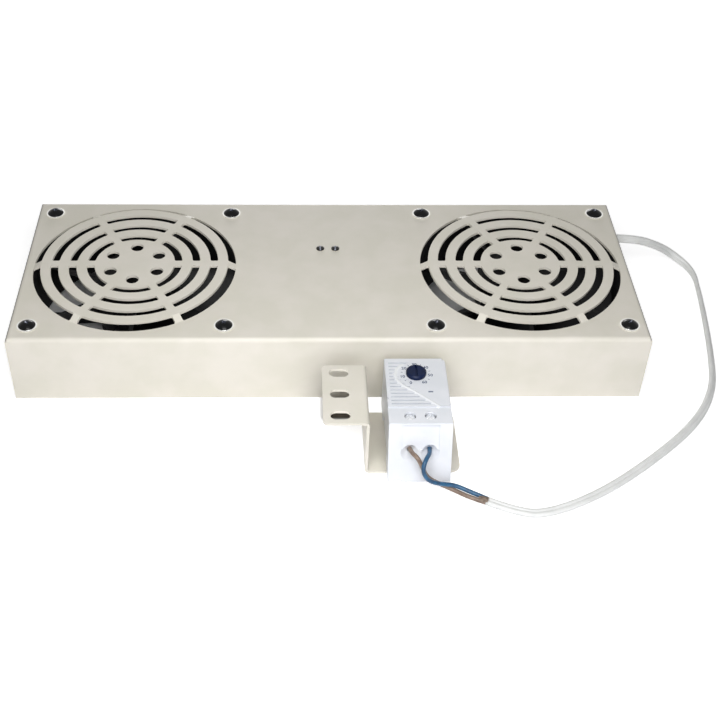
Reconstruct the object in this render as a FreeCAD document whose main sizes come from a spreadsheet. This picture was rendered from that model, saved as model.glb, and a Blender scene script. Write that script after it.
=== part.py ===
import FreeCAD, Part
import os
import re
from math import cos, pi, radians, sin, tan

import Sketcher
from FreeCAD import Rotation, Vector

# Rack fan tray: a folded sheet tray with two axial fans under embossed grilles, and a Z bracket
# that carries a thermostat, joined to the tray by a flat two-core cable.
# Origin: the middle of the tray's footprint. X runs to the right, Y to the back, Z up.

SIZES = {
    # the folded tray
    "tray_width": 345.0,
    "sheet_metal": 1.5,
    "bend_outer": 2.5,
    "seam_gap": 0.4,
    "seam_top": 8.0,
    "tab_length": 84.0,
    "tab_width": 14.0,
    "fixing_span": 64.0,
    "fixing_inset": 7.0,
    "fixing_radius": 2.75,
    # the fans, which set the depth and the height of the tray
    "fan_size": 120.0,
    "fan_depth": 38.0,
    "fan_side_gap": 1.35,
    "fan_end_gap": 2.5,
    "fan_floor_gap": 2.5,
    "fan_flange": 5.0,
    "fan_corner": 6.0,
    "fan_hole_inset": 7.5,
    "fan_hole_radius": 2.2,
    "post_radius": 5.0,
    "duct_edge": 2.9,
    "barrel_wall": 1.9,
    "strut_width": 5.0,
    "strut_height": 4.0,
    "hub_plate_radius": 23.0,
    "hub_plate_thick": 3.5,
    # the motor
    "shaft_radius": 2.0,
    "bush_radius": 5.0,
    "bush_length": 6.0,
    "running_fit": 0.03,
    "tube_wall": 1.5,
    "tube_top": 28.0,
    "core_bottom": 9.0,
    "core_height": 14.0,
    "core_radius": 18.5,
    "shoe_depth": 2.5,
    "tooth_width": 4.0,
    "yoke_radius": 9.0,
    "coil_overhang": 2.5,
    "coil_width": 10.0,
    "air_gap": 0.8,
    "rotor_wall": 2.2,
    "rotor_bottom": 5.5,
    "rotor_top": 31.0,
    "rotor_plate": 1.5,
    # the impeller
    "hub_wall": 2.0,
    "hub_cap": 2.0,
    "blade_count": 7,
    "blade_bottom": 7.5,
    "blade_top": 31.0,
    "blade_thick": 2.4,
    "blade_root_reach": 7.5,
    "blade_tip_reach": 14.0,
    "tip_gap": 1.0,
    # the embossed grilles
    "grille_rise": 2.4,
    "grille_step": 4.4,
    "spoke_width": 4.5,
    "spoke_count": 6,
    "ring_width": 4.3,
    "rim_ring_inset": 7.8,
    "inner_ring_radius": 24.7,
    "vent_circle": 15.0,
    "vent_radius": 3.6,
    "slot_end_radius": 0.9,
    # fan screws
    "screw_radius": 2.1,
    "screw_length": 16.0,
    "screw_head": 4.7,
    "screw_dome": 2.3,
    "screw_rim": 5.4,
    "screw_rim_thick": 0.5,
    # the terminal block under the tray's top
    "pole_pitch": 8.7,
    "block_depth": 17.0,
    "block_height": 13.0,
    "block_back": 17.0,
    "pole_bore": 2.1,
    "insert_width": 5.6,
    "insert_margin": 1.5,
    "insert_cover": 2.0,
    "pole_notch": 1.6,
    "block_screw": 1.4,
    "block_screw_head": 1.9,
    "block_screw_dome": 0.9,
    "block_nut": 2.9,
    "block_nut_thick": 2.2,
    "grub_radius": 1.6,
    # the mains inlet in the back wall
    "inlet_width": 27.0,
    "inlet_height": 19.8,
    "inlet_level": 19.0,
    "inlet_depth": 20.0,
    "inlet_flange_width": 48.0,
    "inlet_flange_height": 22.5,
    "inlet_flange_thick": 3.0,
    "inlet_recess": 16.0,
    "inlet_chamfer": 4.0,
    "inlet_wall": 2.0,
    "inlet_screw_span": 40.0,
    "inlet_screw": 1.5,
    "inlet_screw_head": 2.8,
    "pin_width": 2.0,
    "pin_height": 4.0,
    "pin_span": 7.0,
    "pin_drop": 2.0,
    "pin_tail": 6.0,
    # the earth stud
    "stud_offset": 43.0,
    "stud_level": 20.0,
    "stud_radius": 2.0,
    "stud_length": 11.0,
    "stud_nut": 4.0,
    "lug_radius": 5.0,
    "lug_barrel": 1.3,
    "lug_barrel_length": 5.5,
    "lug_thick": 0.8,
    # the cable grommet in the right wall
    "cable_radius": 2.2,
    "cable_level": 29.5,
    "cable_from_end": 19.0,
    "grommet_bore_gap": 0.1,
    "grommet_neck": 4.5,
    "grommet_rim": 6.0,
    "grommet_collar": 5.3,
    "grommet_rim_thick": 1.8,
    "lead_radius": 0.9,
    "core_wire": 1.15,
    # the Z bracket
    "bracket_metal": 1.5,
    "bracket_width": 43.6,
    "bracket_gap": 13.8,
    "web_offset": 18.4,
    "ear_length": 23.4,
    "base_length": 48.4,
    "bracket_height": 36.0,
    "ear_slot_setback": 14.6,
    "ear_slot_length": 10.3,
    "ear_slot_width": 6.0,
    "rack_pitch": 15.875,
    "base_corner": 5.0,
    "ear_corner": 2.5,
    # the DIN rail
    "rail_width": 35.0,
    "rail_height": 7.5,
    "rail_metal": 1.0,
    "rail_web": 27.0,
    "rail_length": 30.0,
    "rivet_radius": 2.0,
    "rivet_head": 3.4,
    "rivet_span": 16.0,
    # the thermostat
    "case_width": 32.4,
    "case_setback": 26.0,
    "case_far": 30.0,
    "case_near": 30.0,
    "case_lift": 0.5,
    "case_height": 34.0,
    "case_seam": 12.0,
    "case_wall": 1.8,
    "case_corner": 1.2,
    "slope_run": 11.0,
    "deck_drop": 0.7,
    "deck_length": 11.5,
    "end_wall": 13.0,
    "clip_hook": 2.5,
    "clip_gap": 0.3,
    "cheek_width": 6.6,
    "panel_depth": 1.0,
    "panel_foot": 19.0,
    "rib_pitch": 2.6,
    "rib_groove": 0.9,
    "rib_depth": 0.6,
    "rib_margin": 2.0,
    "dial_radius": 9.6,
    "knob_radius": 5.3,
    "knob_height": 2.2,
    "knob_setback": 13.0,
    "knob_gap": 0.3,
    "knob_slot": 1.2,
    "spindle_radius": 3.0,
    "spindle_fit": 0.05,
    "spindle_gap": 0.3,
    "wire_pitch": 10.4,
    "wire_level": 18.0,
    "wire_bore": 1.3,
    "funnel_radius": 4.8,
    "funnel_depth": 3.6,
    "funnel_reach": 1.5,
    "well_radius": 3.0,
    "well_inset": 5.3,
    "clamp_width": 7.0,
    "clamp_length": 6.0,
    "clamp_height": 10.0,
    "clamp_screw": 1.5,
    "clamp_head": 2.7,
    "clamp_head_thick": 2.0,
    "clamp_head_depth": 2.6,
    "bimetal_width": 14.0,
    "bimetal_level": 20.0,
    "bimetal_thick": 0.8,
    "bimetal_length": 34.0,
    "spring_width": 5.0,
    "spring_thick": 0.4,
    "spring_drop": 3.0,
    "contact_radius": 1.2,
    "index_length": 2.6,
    "index_width": 1.2,
    "index_depth": 0.5,
    "index_offset": 6.7,
    "notch_depth": 1.6,
    "latch_width": 3.2,
    "latch_height": 1.2,
    # gaps round screws, threads, windows and seats
    "screw_gap": 0.1,
    "thread_gap": 0.02,
    "window_gap": 0.2,
    "seat_gap": 0.1,
}

doc = FreeCAD.newDocument("rack_fan_tray")
sheet = doc.addObject("Spreadsheet::Sheet", "Sizes")
for row, (alias, value) in enumerate(SIZES.items(), start=1):
    sheet.set(f"A{row}", alias)
    sheet.set(f"B{row}", str(value))
    sheet.setAlias(f"B{row}", alias)

# Lengths that follow from the driving sizes, used in the formulas below.
DERIVED = {
    "tray_depth": "fan_size + 2 * fan_end_gap + 2 * sheet_metal",
    "tray_height": "fan_floor_gap + fan_depth + sheet_metal",
    "fan_place": "tray_width / 2 - sheet_metal - fan_side_gap - fan_size / 2",
    "duct_radius": "fan_size / 2 - duct_edge",
    "disc_radius": "duct_radius - grille_step",
    "fan_hole_place": "fan_size / 2 - fan_hole_inset",
    "rotor_radius": "core_radius + air_gap + rotor_wall",
    "hub_radius": "rotor_radius + hub_wall",
    "bracket_place": "0 - tray_depth / 2 - bracket_gap - bracket_width / 2",
    "case_place": "web_offset + case_setback",
    "case_foot": "bracket_metal + case_lift",
    "cable_place": "tray_depth / 2 - cable_from_end",
    "block_level": "tray_height - sheet_metal - block_height / 2",
    "slope": "slope_run / (case_height - case_foot)",
    "wire_place": "wire_pitch / 2",
}
ROW_DERIVED = len(SIZES) + 1
NAMES = set(SIZES) | set(DERIVED)


def formula(text):
    """Point the size names in a formula at their cells."""
    return re.sub(r"[a-z][a-z_]+", lambda m: "Sizes." + m[0] if m[0] in NAMES else m[0], str(text))


for row, (alias, text) in enumerate(DERIVED.items(), start=ROW_DERIVED):
    sheet.set(f"A{row}", alias)
    sheet.set(f"B{row}", "=" + re.sub("Sizes.", "", formula(text)))
    sheet.setAlias(f"B{row}", alias)
doc.recompute()


def size(name):
    """Read one size back from the sheet."""
    return float(sheet.get(name))


# ---- small builders -------------------------------------------------------------------------

AXES = {
    "Z": Rotation(),
    "-Z": Rotation(Vector(1, 0, 0), 180),
    "X": Rotation(Vector(0, 1, 0), 90),
    "Y": Rotation(Vector(1, 0, 0), -90),
    "-Y": Rotation(Vector(1, 0, 0), 90),
}
SIDES = {"left": -1, "right": 1}
nodes = []


def bind(thing, **formulas):
    for path, text in formulas.items():
        thing.setExpression(path.replace("__", "."), formula(text))
    return thing


def move(thing, x=0, y=0, z=0):
    return bind(thing, Placement__Base__x=x, Placement__Base__y=y, Placement__Base__z=z)


def turn(thing, rotation):
    thing.Placement = FreeCAD.Placement(Vector(), rotation)
    return thing


def box(name, length, width, height, x=0, y=0, z=0):
    """A box centred on x and y, standing on z."""
    thing = doc.addObject("Part::Box", name)
    bind(thing, Length=length, Width=width, Height=height)
    return move(thing, f"({x}) - ({length}) / 2", f"({y}) - ({width}) / 2", z)


def cylinder(name, radius, height, x=0, y=0, z=0, axis="Z"):
    """A cylinder that starts at the point and runs along the axis."""
    thing = turn(doc.addObject("Part::Cylinder", name), AXES[axis])
    bind(thing, Radius=radius, Height=height)
    return move(thing, x, y, z)


def cone(name, first, last, height, x=0, y=0, z=0, axis="Z"):
    thing = turn(doc.addObject("Part::Cone", name), AXES[axis])
    bind(thing, Radius1=first, Radius2=last, Height=height)
    return move(thing, x, y, z)


def dome(name, radius, height, x=0, y=0, z=0):
    """The cap of a sphere: its rim has the radius and lies at z."""
    thing = doc.addObject("Part::Sphere", name)
    ball = f"(({radius}) ^ 2 + ({height}) ^ 2) / (2 * ({height}))"
    bind(thing, Radius=ball, Angle1=f"asin(1 - ({height}) / ({ball}))")
    return move(thing, x, y, f"({z}) - ({ball}) + ({height})")


def group(name, things):
    thing = doc.addObject("Part::Compound", name)
    thing.Links = list(things)
    return thing


def fuse(name, things):
    thing = doc.addObject("Part::MultiFuse", name)
    thing.Shapes = list(things)
    thing.Refine = True
    return thing


def cut(name, base, tool):
    thing = doc.addObject("Part::Cut", name)
    thing.Base = base
    thing.Tool = tool
    return thing


def tube(name, outer, inner, height, x=0, y=0, z=0, axis="Z"):
    return cut(
        name,
        cylinder(f"{name}_outside", outer, height, x, y, z, axis),
        cylinder(f"{name}_bore", inner, height, x, y, z, axis),
    )


def node(thing, label):
    """Name a finished sub-part."""
    thing.Label = label
    nodes.append(thing)
    return thing


class Body:
    """A PartDesign body and the features that it is built from."""

    def __init__(self, name):
        self.body = doc.addObject("PartDesign::Body", name)
        self.name = name
        self.count = 0

    def add(self, kind, title):
        self.count += 1
        return self.body.newObject(kind, f"{self.name}_{title}_{self.count}")

    def origin(self, role):
        return next(f for f in self.body.Origin.OriginFeatures if f.Role == role)

    def sketch(self, plane="XY_Plane", x=0, y=0, z=0):
        """A sketch on one of the body's planes, moved in the plane by x and y and off it by z."""
        sketch = self.add("Sketcher::SketchObject", "sketch")
        sketch.AttachmentSupport = (self.origin(plane), [""])
        sketch.MapMode = "FlatFace"
        return bind(sketch, AttachmentOffset__Base__x=x, AttachmentOffset__Base__y=y,
                    AttachmentOffset__Base__z=z)

    def feature(self, kind, sketch, length, reverse=False, both=False):
        feature = self.add(f"PartDesign::{kind}", kind.lower())
        feature.Profile = sketch
        feature.Reversed = reverse
        feature.SideType = "Symmetric" if both else "One side"
        return bind(feature, Length=length)

    def pad(self, sketch, length, **options):
        return self.feature("Pad", sketch, length, **options)

    def pocket(self, sketch, length, **options):
        return self.feature("Pocket", sketch, length, **options)

    def revolve(self, sketch):
        feature = self.add("PartDesign::Revolution", "turned")
        feature.Profile = sketch
        feature.ReferenceAxis = (sketch, ["V_Axis"])
        feature.Angle = 360
        return feature

    def polar(self, features, sketch, count):
        pattern = self.add("PartDesign::PolarPattern", "pattern")
        pattern.Originals = features
        pattern.Axis = (sketch, ["N_Axis"])
        pattern.Angle = 360
        bind(pattern, Occurrences=count)
        self.body.Tip = pattern
        return pattern

    def round(self, radius, wanted):
        """Round the edges of the last feature whose middle point satisfies the test."""
        doc.recompute()
        base = self.body.Tip
        names = [
            f"Edge{i}"
            for i, edge in enumerate(base.Shape.Edges, start=1)
            if wanted(edge.CenterOfMass, edge)
        ]
        fillet = self.add("PartDesign::Fillet", "round")
        fillet.Base = (base, names)
        return bind(fillet, Radius=radius)


def locate(sketch, axis, point, text):
    """Hold one coordinate of a sketch point at a formula's value."""
    index = sketch.addConstraint(Sketcher.Constraint(f"Distance{axis}", -1, 1, *point, 1.0))
    sketch.setExpression(f"Constraints[{index}]", formula(text))


def polygon(sketch, corners):
    """A closed outline through the corners, each held by its two formulas."""
    count = len(corners)
    start = sketch.GeometryCount
    ring = [Vector(cos(radians(360 * i / count)), sin(radians(360 * i / count)), 0) for i in range(count)]
    for i in range(count):
        sketch.addGeometry(Part.LineSegment(ring[i], ring[(i + 1) % count]), False)
    for i in range(count):
        sketch.addConstraint(
            Sketcher.Constraint("Coincident", start + i, 2, start + (i + 1) % count, 1)
        )
    for i, (across, up) in enumerate(corners):
        locate(sketch, "X", (start + i, 1), across)
        locate(sketch, "Y", (start + i, 1), up)
    return sketch


def rectangle(sketch, width, height, x=0, y=0):
    left, right = f"({x}) - ({width}) / 2", f"({x}) + ({width}) / 2"
    low, high = f"({y}) - ({height}) / 2", f"({y}) + ({height}) / 2"
    return polygon(sketch, [(left, low), (right, low), (right, high), (left, high)])


def circle(sketch, radius, x=0, y=0):
    index = sketch.addGeometry(Part.Circle(Vector(), Vector(0, 0, 1), 1.0), False)
    held = sketch.addConstraint(Sketcher.Constraint("Radius", index, 1.0))
    sketch.setExpression(f"Constraints[{held}]", formula(radius))
    locate(sketch, "X", (index, 3), x)
    locate(sketch, "Y", (index, 3), y)
    return sketch


def corners(place):
    """The four corners of a square pattern."""
    return [(f"{i} * ({place})", f"{j} * ({place})") for i in (-1, 1) for j in (-1, 1)]


def is_level(edge):
    return abs(edge.Vertexes[0].Z - edge.Vertexes[-1].Z) < 1e-6


def is_upright(edge):
    ends = edge.Vertexes[0].Point, edge.Vertexes[-1].Point
    return len(edge.Vertexes) == 2 and (ends[0] - ends[1]).cross(Vector(0, 0, 1)).Length < 1e-6


# ---- the folded tray with its two embossed grilles ------------------------------------------


def folded_sheet():
    """The five-sided sheet box, its tabs, its corner seams and the raised grille discs."""
    sheet_box = Body("folded_sheet")
    sheet_box.pad(rectangle(sheet_box.sketch(), "tray_width", "tray_depth"), "tray_height")
    top = size("tray_height")
    sheet_box.round("bend_outer", lambda middle, edge: middle.z > top - 1e-6)
    inside = rectangle(
        sheet_box.sketch(), "tray_width - 2 * sheet_metal", "tray_depth - 2 * sheet_metal"
    )
    sheet_box.pocket(inside, "tray_height - sheet_metal", reverse=True)
    ceiling = top - size("sheet_metal")
    sheet_box.round(
        "bend_outer - sheet_metal",
        lambda middle, edge: abs(middle.z - ceiling) < 1e-6 and is_level(edge),
    )
    tabs = sheet_box.sketch()
    for end in (-1, 1):
        rectangle(tabs, "tab_length", "tab_width", 0, f"{end} * (tray_depth / 2 - tab_width / 2)")
    sheet_box.pad(tabs, "sheet_metal")
    seams = sheet_box.sketch()
    for side in (-1, 1):
        for end in (-1, 1):
            rectangle(
                seams, "2 * sheet_metal", "seam_gap",
                f"{side} * tray_width / 2",
                f"{end} * (tray_depth / 2 - sheet_metal - seam_gap / 2)",
            )
    sheet_box.pocket(seams, "tray_height - seam_top", reverse=True)
    for side in (-1, 1):
        sheet_box.pocket(
            circle(sheet_box.sketch(x=f"{side} * fan_place"), "duct_radius"),
            "tray_height + 1", reverse=True,
        )
        hat = polygon(
            sheet_box.sketch("XZ_Plane", x=f"{side} * fan_place"),
            [
                (0, "tray_height + grille_rise - sheet_metal"),
                (0, "tray_height + grille_rise"),
                ("disc_radius", "tray_height + grille_rise"),
                ("duct_radius", "tray_height"),
                ("duct_radius + sheet_metal", "tray_height"),
                ("duct_radius + sheet_metal", "tray_height - sheet_metal"),
                ("duct_radius", "tray_height - sheet_metal"),
                ("disc_radius", "tray_height + grille_rise - sheet_metal"),
            ],
        )
        sheet_box.revolve(hat)
    return sheet_box.body


def grille_slots(side):
    """The arc slots between the spokes, the gap round the raised disc and the middle vents."""
    name = f"grille_{'right' if side > 0 else 'left'}"
    middle, low, tall = f"{side} * fan_place", "tray_height - 2 * sheet_metal", "grille_rise + 4 * sheet_metal"
    rim_ring = "(disc_radius - rim_ring_inset)"
    radii = ["inner_ring_radius", f"(inner_ring_radius + {rim_ring}) / 2", rim_ring]
    bands = [(f"{r} + ring_width / 2", f"{r} - ring_width / 2") for r in radii]
    bands.append(("duct_radius", "disc_radius"))
    rings = group(
        f"{name}_rings",
        [tube(f"{name}_ring_{i}", *band, tall, middle, 0, low) for i, band in enumerate(bands)],
    )
    bars = []
    for i in range(int(size("spoke_count")) // 2):
        bar = doc.addObject("Part::Box", f"{name}_bar_{i}")
        angle = radians(360 * i / size("spoke_count"))
        turn(bar, Rotation(Vector(0, 0, 1), 360 * i / size("spoke_count")))
        bind(bar, Length="2 * duct_radius + 2", Width="spoke_width", Height=tall)
        back = "(duct_radius + 1)"
        bars.append(
            move(
                bar,
                f"{middle} - {back} * {cos(angle):.6f} + spoke_width / 2 * {sin(angle):.6f}",
                f"0 - {back} * {sin(angle):.6f} - spoke_width / 2 * {cos(angle):.6f}",
                low,
            )
        )
    slots = cut(f"{name}_slots", rings, fuse(f"{name}_spokes", bars))
    doc.recompute()
    rounded = doc.addObject("Part::Fillet", f"{name}_rounded")
    rounded.Base = slots
    radius = min(size("slot_end_radius"), 0.45 * size("ring_width"))
    rounded.Edges = [
        (i, radius, radius) for i, edge in enumerate(slots.Shape.Edges, start=1) if is_upright(edge)
    ]
    vents = []
    for i in range(int(size("spoke_count"))):
        angle = radians(360 * (i + 0.5) / size("spoke_count"))
        vents.append(
            cylinder(
                f"{name}_vent_{i}", "vent_radius", tall,
                f"{middle} + vent_circle * {cos(angle):.6f}", f"vent_circle * {sin(angle):.6f}", low,
            )
        )
    return [rounded] + vents


def tray_shell():
    """The sheet with everything that is pierced through it."""
    tools = []
    low = "tray_height - 2 * sheet_metal"
    for label, side in SIDES.items():
        tools += grille_slots(side)
        for i, (x, y) in enumerate(corners("fan_hole_place")):
            tools.append(
                cylinder(
                    f"screw_hole_{label}_{i}", "fan_hole_radius", "4 * sheet_metal",
                    f"{side} * fan_place + {x}", y, low,
                )
            )
        tools.append(
            cylinder(
                f"block_hole_{label}", "block_screw + screw_gap", "4 * sheet_metal",
                f"{side} * pole_pitch / 2", "block_back", low,
            )
        )
        for end in (-1, 1):
            tools.append(
                cylinder(
                    f"fixing_hole_{label}_{end + 1}", "fixing_radius", "4 * sheet_metal",
                    f"{side} * fixing_span / 2", f"{end} * (tray_depth / 2 - fixing_inset)",
                    "0 - sheet_metal",
                )
            )
        tools.append(
            cylinder(
                f"inlet_screw_hole_{label}", "inlet_screw + screw_gap", "4 * sheet_metal",
                f"{side} * inlet_screw_span / 2", "tray_depth / 2 - 2 * sheet_metal",
                "inlet_level", "Y",
            )
        )
    tools.append(
        box(
            "inlet_window", "inlet_width + 2 * window_gap", "4 * sheet_metal", "inlet_height + 2 * window_gap",
            0, "tray_depth / 2", "inlet_level - inlet_height / 2 - window_gap",
        )
    )
    tools.append(
        cylinder(
            "cable_hole", "grommet_neck", "4 * sheet_metal",
            "tray_width / 2 - 2 * sheet_metal", "cable_place", "cable_level", "X",
        )
    )
    return node(cut("pierced_sheet", folded_sheet(), group("piercings", tools)), "tray_shell")


tray_shell()


# ---- the fans -------------------------------------------------------------------------------


def fan_frame(label, side):
    """The housing: square flanges joined by a round barrel and four corner posts."""
    frame = Body(f"frame_{label}")
    frame.pad(rectangle(frame.sketch(), "fan_size", "fan_size"), "fan_depth")
    frame.round("fan_corner", lambda middle, edge: is_upright(edge))
    waist = rectangle(frame.sketch(z="fan_flange"), "fan_size + 2 * fan_corner", "fan_size + 2 * fan_corner")
    circle(waist, "duct_radius + barrel_wall")
    for x, y in corners("fan_hole_place"):
        circle(waist, "post_radius", x, y)
    frame.pocket(waist, "fan_depth - 2 * fan_flange", reverse=True)
    frame.pocket(circle(frame.sketch(), "duct_radius"), "fan_depth", reverse=True)
    holes = frame.sketch()
    for x, y in corners("fan_hole_place"):
        circle(holes, "fan_hole_radius", x, y)
    frame.pocket(holes, "fan_depth", reverse=True)
    return node(seat_in_fan(frame.body, side), f"fan_frame_{label}")


def fan_hub(label, side):
    """The motor's plate and bearing tube, held in the middle of the duct by four struts."""
    hub = Body(f"hub_{label}")
    hub.pad(circle(hub.sketch(), "hub_plate_radius"), "hub_plate_thick")
    inner, outer = "hub_plate_radius - strut_width", "duct_radius - seat_gap"
    strut_sketch = hub.sketch()
    strut = hub.pad(
        rectangle(strut_sketch, f"{outer} - ({inner})", "strut_width", f"({outer} + {inner}) / 2"),
        "strut_height",
    )
    hub.polar([strut], strut_sketch, "4")
    hub.pad(circle(hub.sketch(), "bush_radius + tube_wall"), "tube_top")
    hub.pocket(circle(hub.sketch(), "bush_radius"), "tube_top", reverse=True)
    return node(seat_in_fan(hub.body, side), f"fan_hub_{label}")


def seat_in_fan(thing, side):
    return move(group(f"{thing.Name}_seated", [thing]), f"{side} * fan_place", 0, "fan_floor_gap")


def fan_bushes(label, side):
    """Two plain bushes pressed into the ends of the bearing tube."""
    bushes = [
        tube(f"bush_{label}_{i}", "bush_radius", "shaft_radius + running_fit", "bush_length", 0, 0, z)
        for i, z in enumerate(("hub_plate_thick", "tube_top - bush_length"))
    ]
    return node(seat_in_fan(group(f"bushes_{label}", bushes), side), f"fan_bushes_{label}")


def fan_stator(label, side):
    """The laminated core: a yoke on the bearing tube, four teeth and their curved shoes."""
    base, tall = "core_bottom", "core_height"
    reach = "2 * (core_radius - shoe_depth / 2)"
    shoes = cut(
        f"shoes_{label}",
        tube(f"shoe_ring_{label}", "core_radius", "core_radius - shoe_depth", tall, 0, 0, base),
        fuse(
            f"shoe_gaps_{label}",
            [
                turned_box(f"shoe_gap_{label}_{angle}", angle, "2 * core_radius + 2", "tooth_width", tall, base)
                for angle in (45, 135)
            ],
        ),
    )
    teeth = [
        turned_box(f"teeth_{label}_{angle}", angle, reach, "tooth_width", tall, base) for angle in (0, 90)
    ]
    yoke = cylinder(f"yoke_{label}", "yoke_radius", tall, 0, 0, base)
    core = cut(
        f"stator_{label}",
        fuse(f"core_{label}", [yoke, shoes] + teeth),
        cylinder(f"core_bore_{label}", "bush_radius + tube_wall + thread_gap", tall, 0, 0, base),
    )
    return node(seat_in_fan(core, side), f"fan_stator_{label}")


def turned_box(name, angle, length, width, height, z):
    """A box centred on the Z axis and turned about it."""
    thing = turn(doc.addObject("Part::Box", name), Rotation(Vector(0, 0, 1), angle))
    bind(thing, Length=length, Width=width, Height=height)
    c, s = f"{cos(radians(angle)):.6f}", f"{sin(radians(angle)):.6f}"
    half, side = f"({length}) / 2", f"({width}) / 2"
    return move(thing, f"{side} * {s} - {half} * {c}", f"0 - {half} * {s} - {side} * {c}", z)


def fan_winding(label, side):
    """One coil round each tooth, standing proud of the core at both ends."""
    inner, outer = "yoke_radius + 0.4", "core_radius - shoe_depth - 1.5"
    middle, long = f"({inner} + {outer}) / 2", f"{outer} - ({inner})"
    tall, base = "core_height + 2 * coil_overhang", "core_bottom - coil_overhang"
    coils = []
    for i in range(4):
        name = f"coil_{label}_{i}"
        along = ((middle, "0"), ("0", middle), (f"0 - {middle}", "0"), ("0", f"0 - {middle}"))[i]
        flat = i % 2 == 0
        outside = box(
            name + "_wire",
            long if flat else "coil_width",
            "coil_width" if flat else long,
            tall, *along, base,
        )
        core = box(
            name + "_core",
            f"{long} + 1" if flat else "tooth_width + 0.2",
            "tooth_width + 0.2" if flat else f"{long} + 1",
            "core_height + 0.2", *along, "core_bottom - 0.1",
        )
        coils.append(cut(name, outside, core))
    return node(seat_in_fan(group(f"coils_{label}", coils), side), f"fan_winding_{label}")


def fan_rotor(label, side):
    """The steel cup that turns outside the stator, on its shaft."""
    wall = cut(
        f"cup_{label}",
        cylinder(f"cup_outside_{label}", "rotor_radius", "rotor_top - rotor_bottom", 0, 0, "rotor_bottom"),
        cylinder(
            f"cup_inside_{label}", "rotor_radius - rotor_wall",
            "rotor_top - rotor_bottom - rotor_plate", 0, 0, "rotor_bottom",
        ),
    )
    shaft = cylinder(
        f"shaft_{label}", "shaft_radius", "rotor_top - hub_plate_thick - 0.5", 0, 0, "hub_plate_thick + 0.5"
    )
    return node(seat_in_fan(fuse(f"rotor_{label}", [wall, shaft]), side), f"fan_rotor_{label}")


def fan_impeller(label, side):
    """The moulded hub over the rotor cup with its twisted blades."""
    wheel = Body(f"wheel_{label}")
    wheel.pad(
        circle(wheel.sketch(z="rotor_bottom"), "hub_radius"), "rotor_top + hub_cap - rotor_bottom"
    )
    wheel.pocket(
        circle(wheel.sketch(z="rotor_bottom"), "rotor_radius"), "rotor_top - rotor_bottom", reverse=True
    )
    half = "blade_thick / 2"
    sections = []
    for place, reach in (
        ("rotor_radius + hub_wall / 4", "blade_root_reach"),
        ("duct_radius + 2", "blade_tip_reach"),
    ):
        sections.append(
            polygon(
                wheel.sketch("YZ_Plane", z=place),
                [
                    (f"0 - {reach} - {half}", "blade_bottom"),
                    (f"0 - {reach} + {half}", "blade_bottom"),
                    (f"{reach} + {half}", "blade_top"),
                    (f"{reach} - {half}", "blade_top"),
                ],
            )
        )
    blade = wheel.add("PartDesign::AdditiveLoft", "blade")
    blade.Profile = sections[0]
    blade.Sections = [sections[1]]
    blade.Ruled = True
    wheel.body.Tip = blade
    axis = wheel.sketch()
    circle(axis, "duct_radius - tip_gap")
    circle(axis, "duct_radius + 20")
    wheel.polar([blade], axis, "blade_count")
    wheel.pocket(axis, "fan_depth", reverse=True)
    return node(seat_in_fan(wheel.body, side), f"impeller_{label}")


def fan_screws():
    """Domed screws with a thin rim that hold the fans up against the tray's top."""
    screws = []
    for label, side in SIDES.items():
        for i, (x, y) in enumerate(corners("fan_hole_place")):
            at = (f"{side} * fan_place + {x}", y)
            name = f"fan_screw_{label}_{i}"
            shank = cylinder(
                f"{name}_shank", "screw_radius", "screw_length", *at, "tray_height - screw_length"
            )
            rim = cylinder(f"{name}_rim", "screw_rim", "screw_rim_thick", *at, "tray_height")
            head = dome(
                f"{name}_head", "screw_head", "screw_dome", *at, "tray_height + screw_rim_thick"
            )
            screws.append(fuse(name, [shank, rim, head]))
    return node(group("fan_screw_set", screws), "fan_screws")


for label, side in SIDES.items():
    fan_frame(label, side)
    fan_hub(label, side)
    fan_bushes(label, side)
    fan_stator(label, side)
    fan_winding(label, side)
    fan_rotor(label, side)
    fan_impeller(label, side)
fan_screws()


# ---- the wiring parts inside the tray -------------------------------------------------------

BLOCK_BOTTOM = "(tray_height - sheet_metal - block_height)"
POLES = (-1, 0, 1)


def terminal_block():
    """A three-pole connector strip that hangs under the top, with notches between its poles."""
    strip = box("strip", "3 * pole_pitch", "block_depth", "block_height", 0, "block_back", BLOCK_BOTTOM)
    tools = []
    for i in POLES:
        tools.append(
            box(
                f"pole_room_{i + 1}", "insert_width", "block_depth - 2 * insert_margin",
                "block_height - 2 * insert_cover", f"{i} * pole_pitch", "block_back",
                f"{BLOCK_BOTTOM} + insert_cover",
            )
        )
        tools.append(
            cylinder(
                f"pole_way_{i + 1}", "pole_bore", "block_depth + 2", f"{i} * pole_pitch",
                "block_back - block_depth / 2 - 1", "block_level", "Y",
            )
        )
        for end in (-1, 1):
            tools.append(
                cylinder(
                    f"grub_way_{i + 1}_{end + 1}", "grub_radius + 0.3", "block_height / 2",
                    f"{i} * pole_pitch", f"block_back + {end} * block_depth / 4",
                    f"{BLOCK_BOTTOM} - 1",
                )
            )
    for side in SIDES.values():
        tools.append(
            cylinder(
                f"strip_hole_{side + 1}", "block_screw + screw_gap", "block_height + 2",
                f"{side} * pole_pitch / 2", "block_back", f"{BLOCK_BOTTOM} - 1",
            )
        )
        for end in (-1, 1):
            tools.append(
                box(
                    f"strip_notch_{side + 1}_{end + 1}", "pole_notch", "block_depth / 4", "block_height / 2",
                    f"{side} * pole_pitch / 2", f"block_back + {end} * block_depth * 3 / 8",
                    f"{BLOCK_BOTTOM}",
                )
            )
    return node(cut("strip_block", strip, fuse("strip_tools", tools)), "terminal_block")


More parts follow.
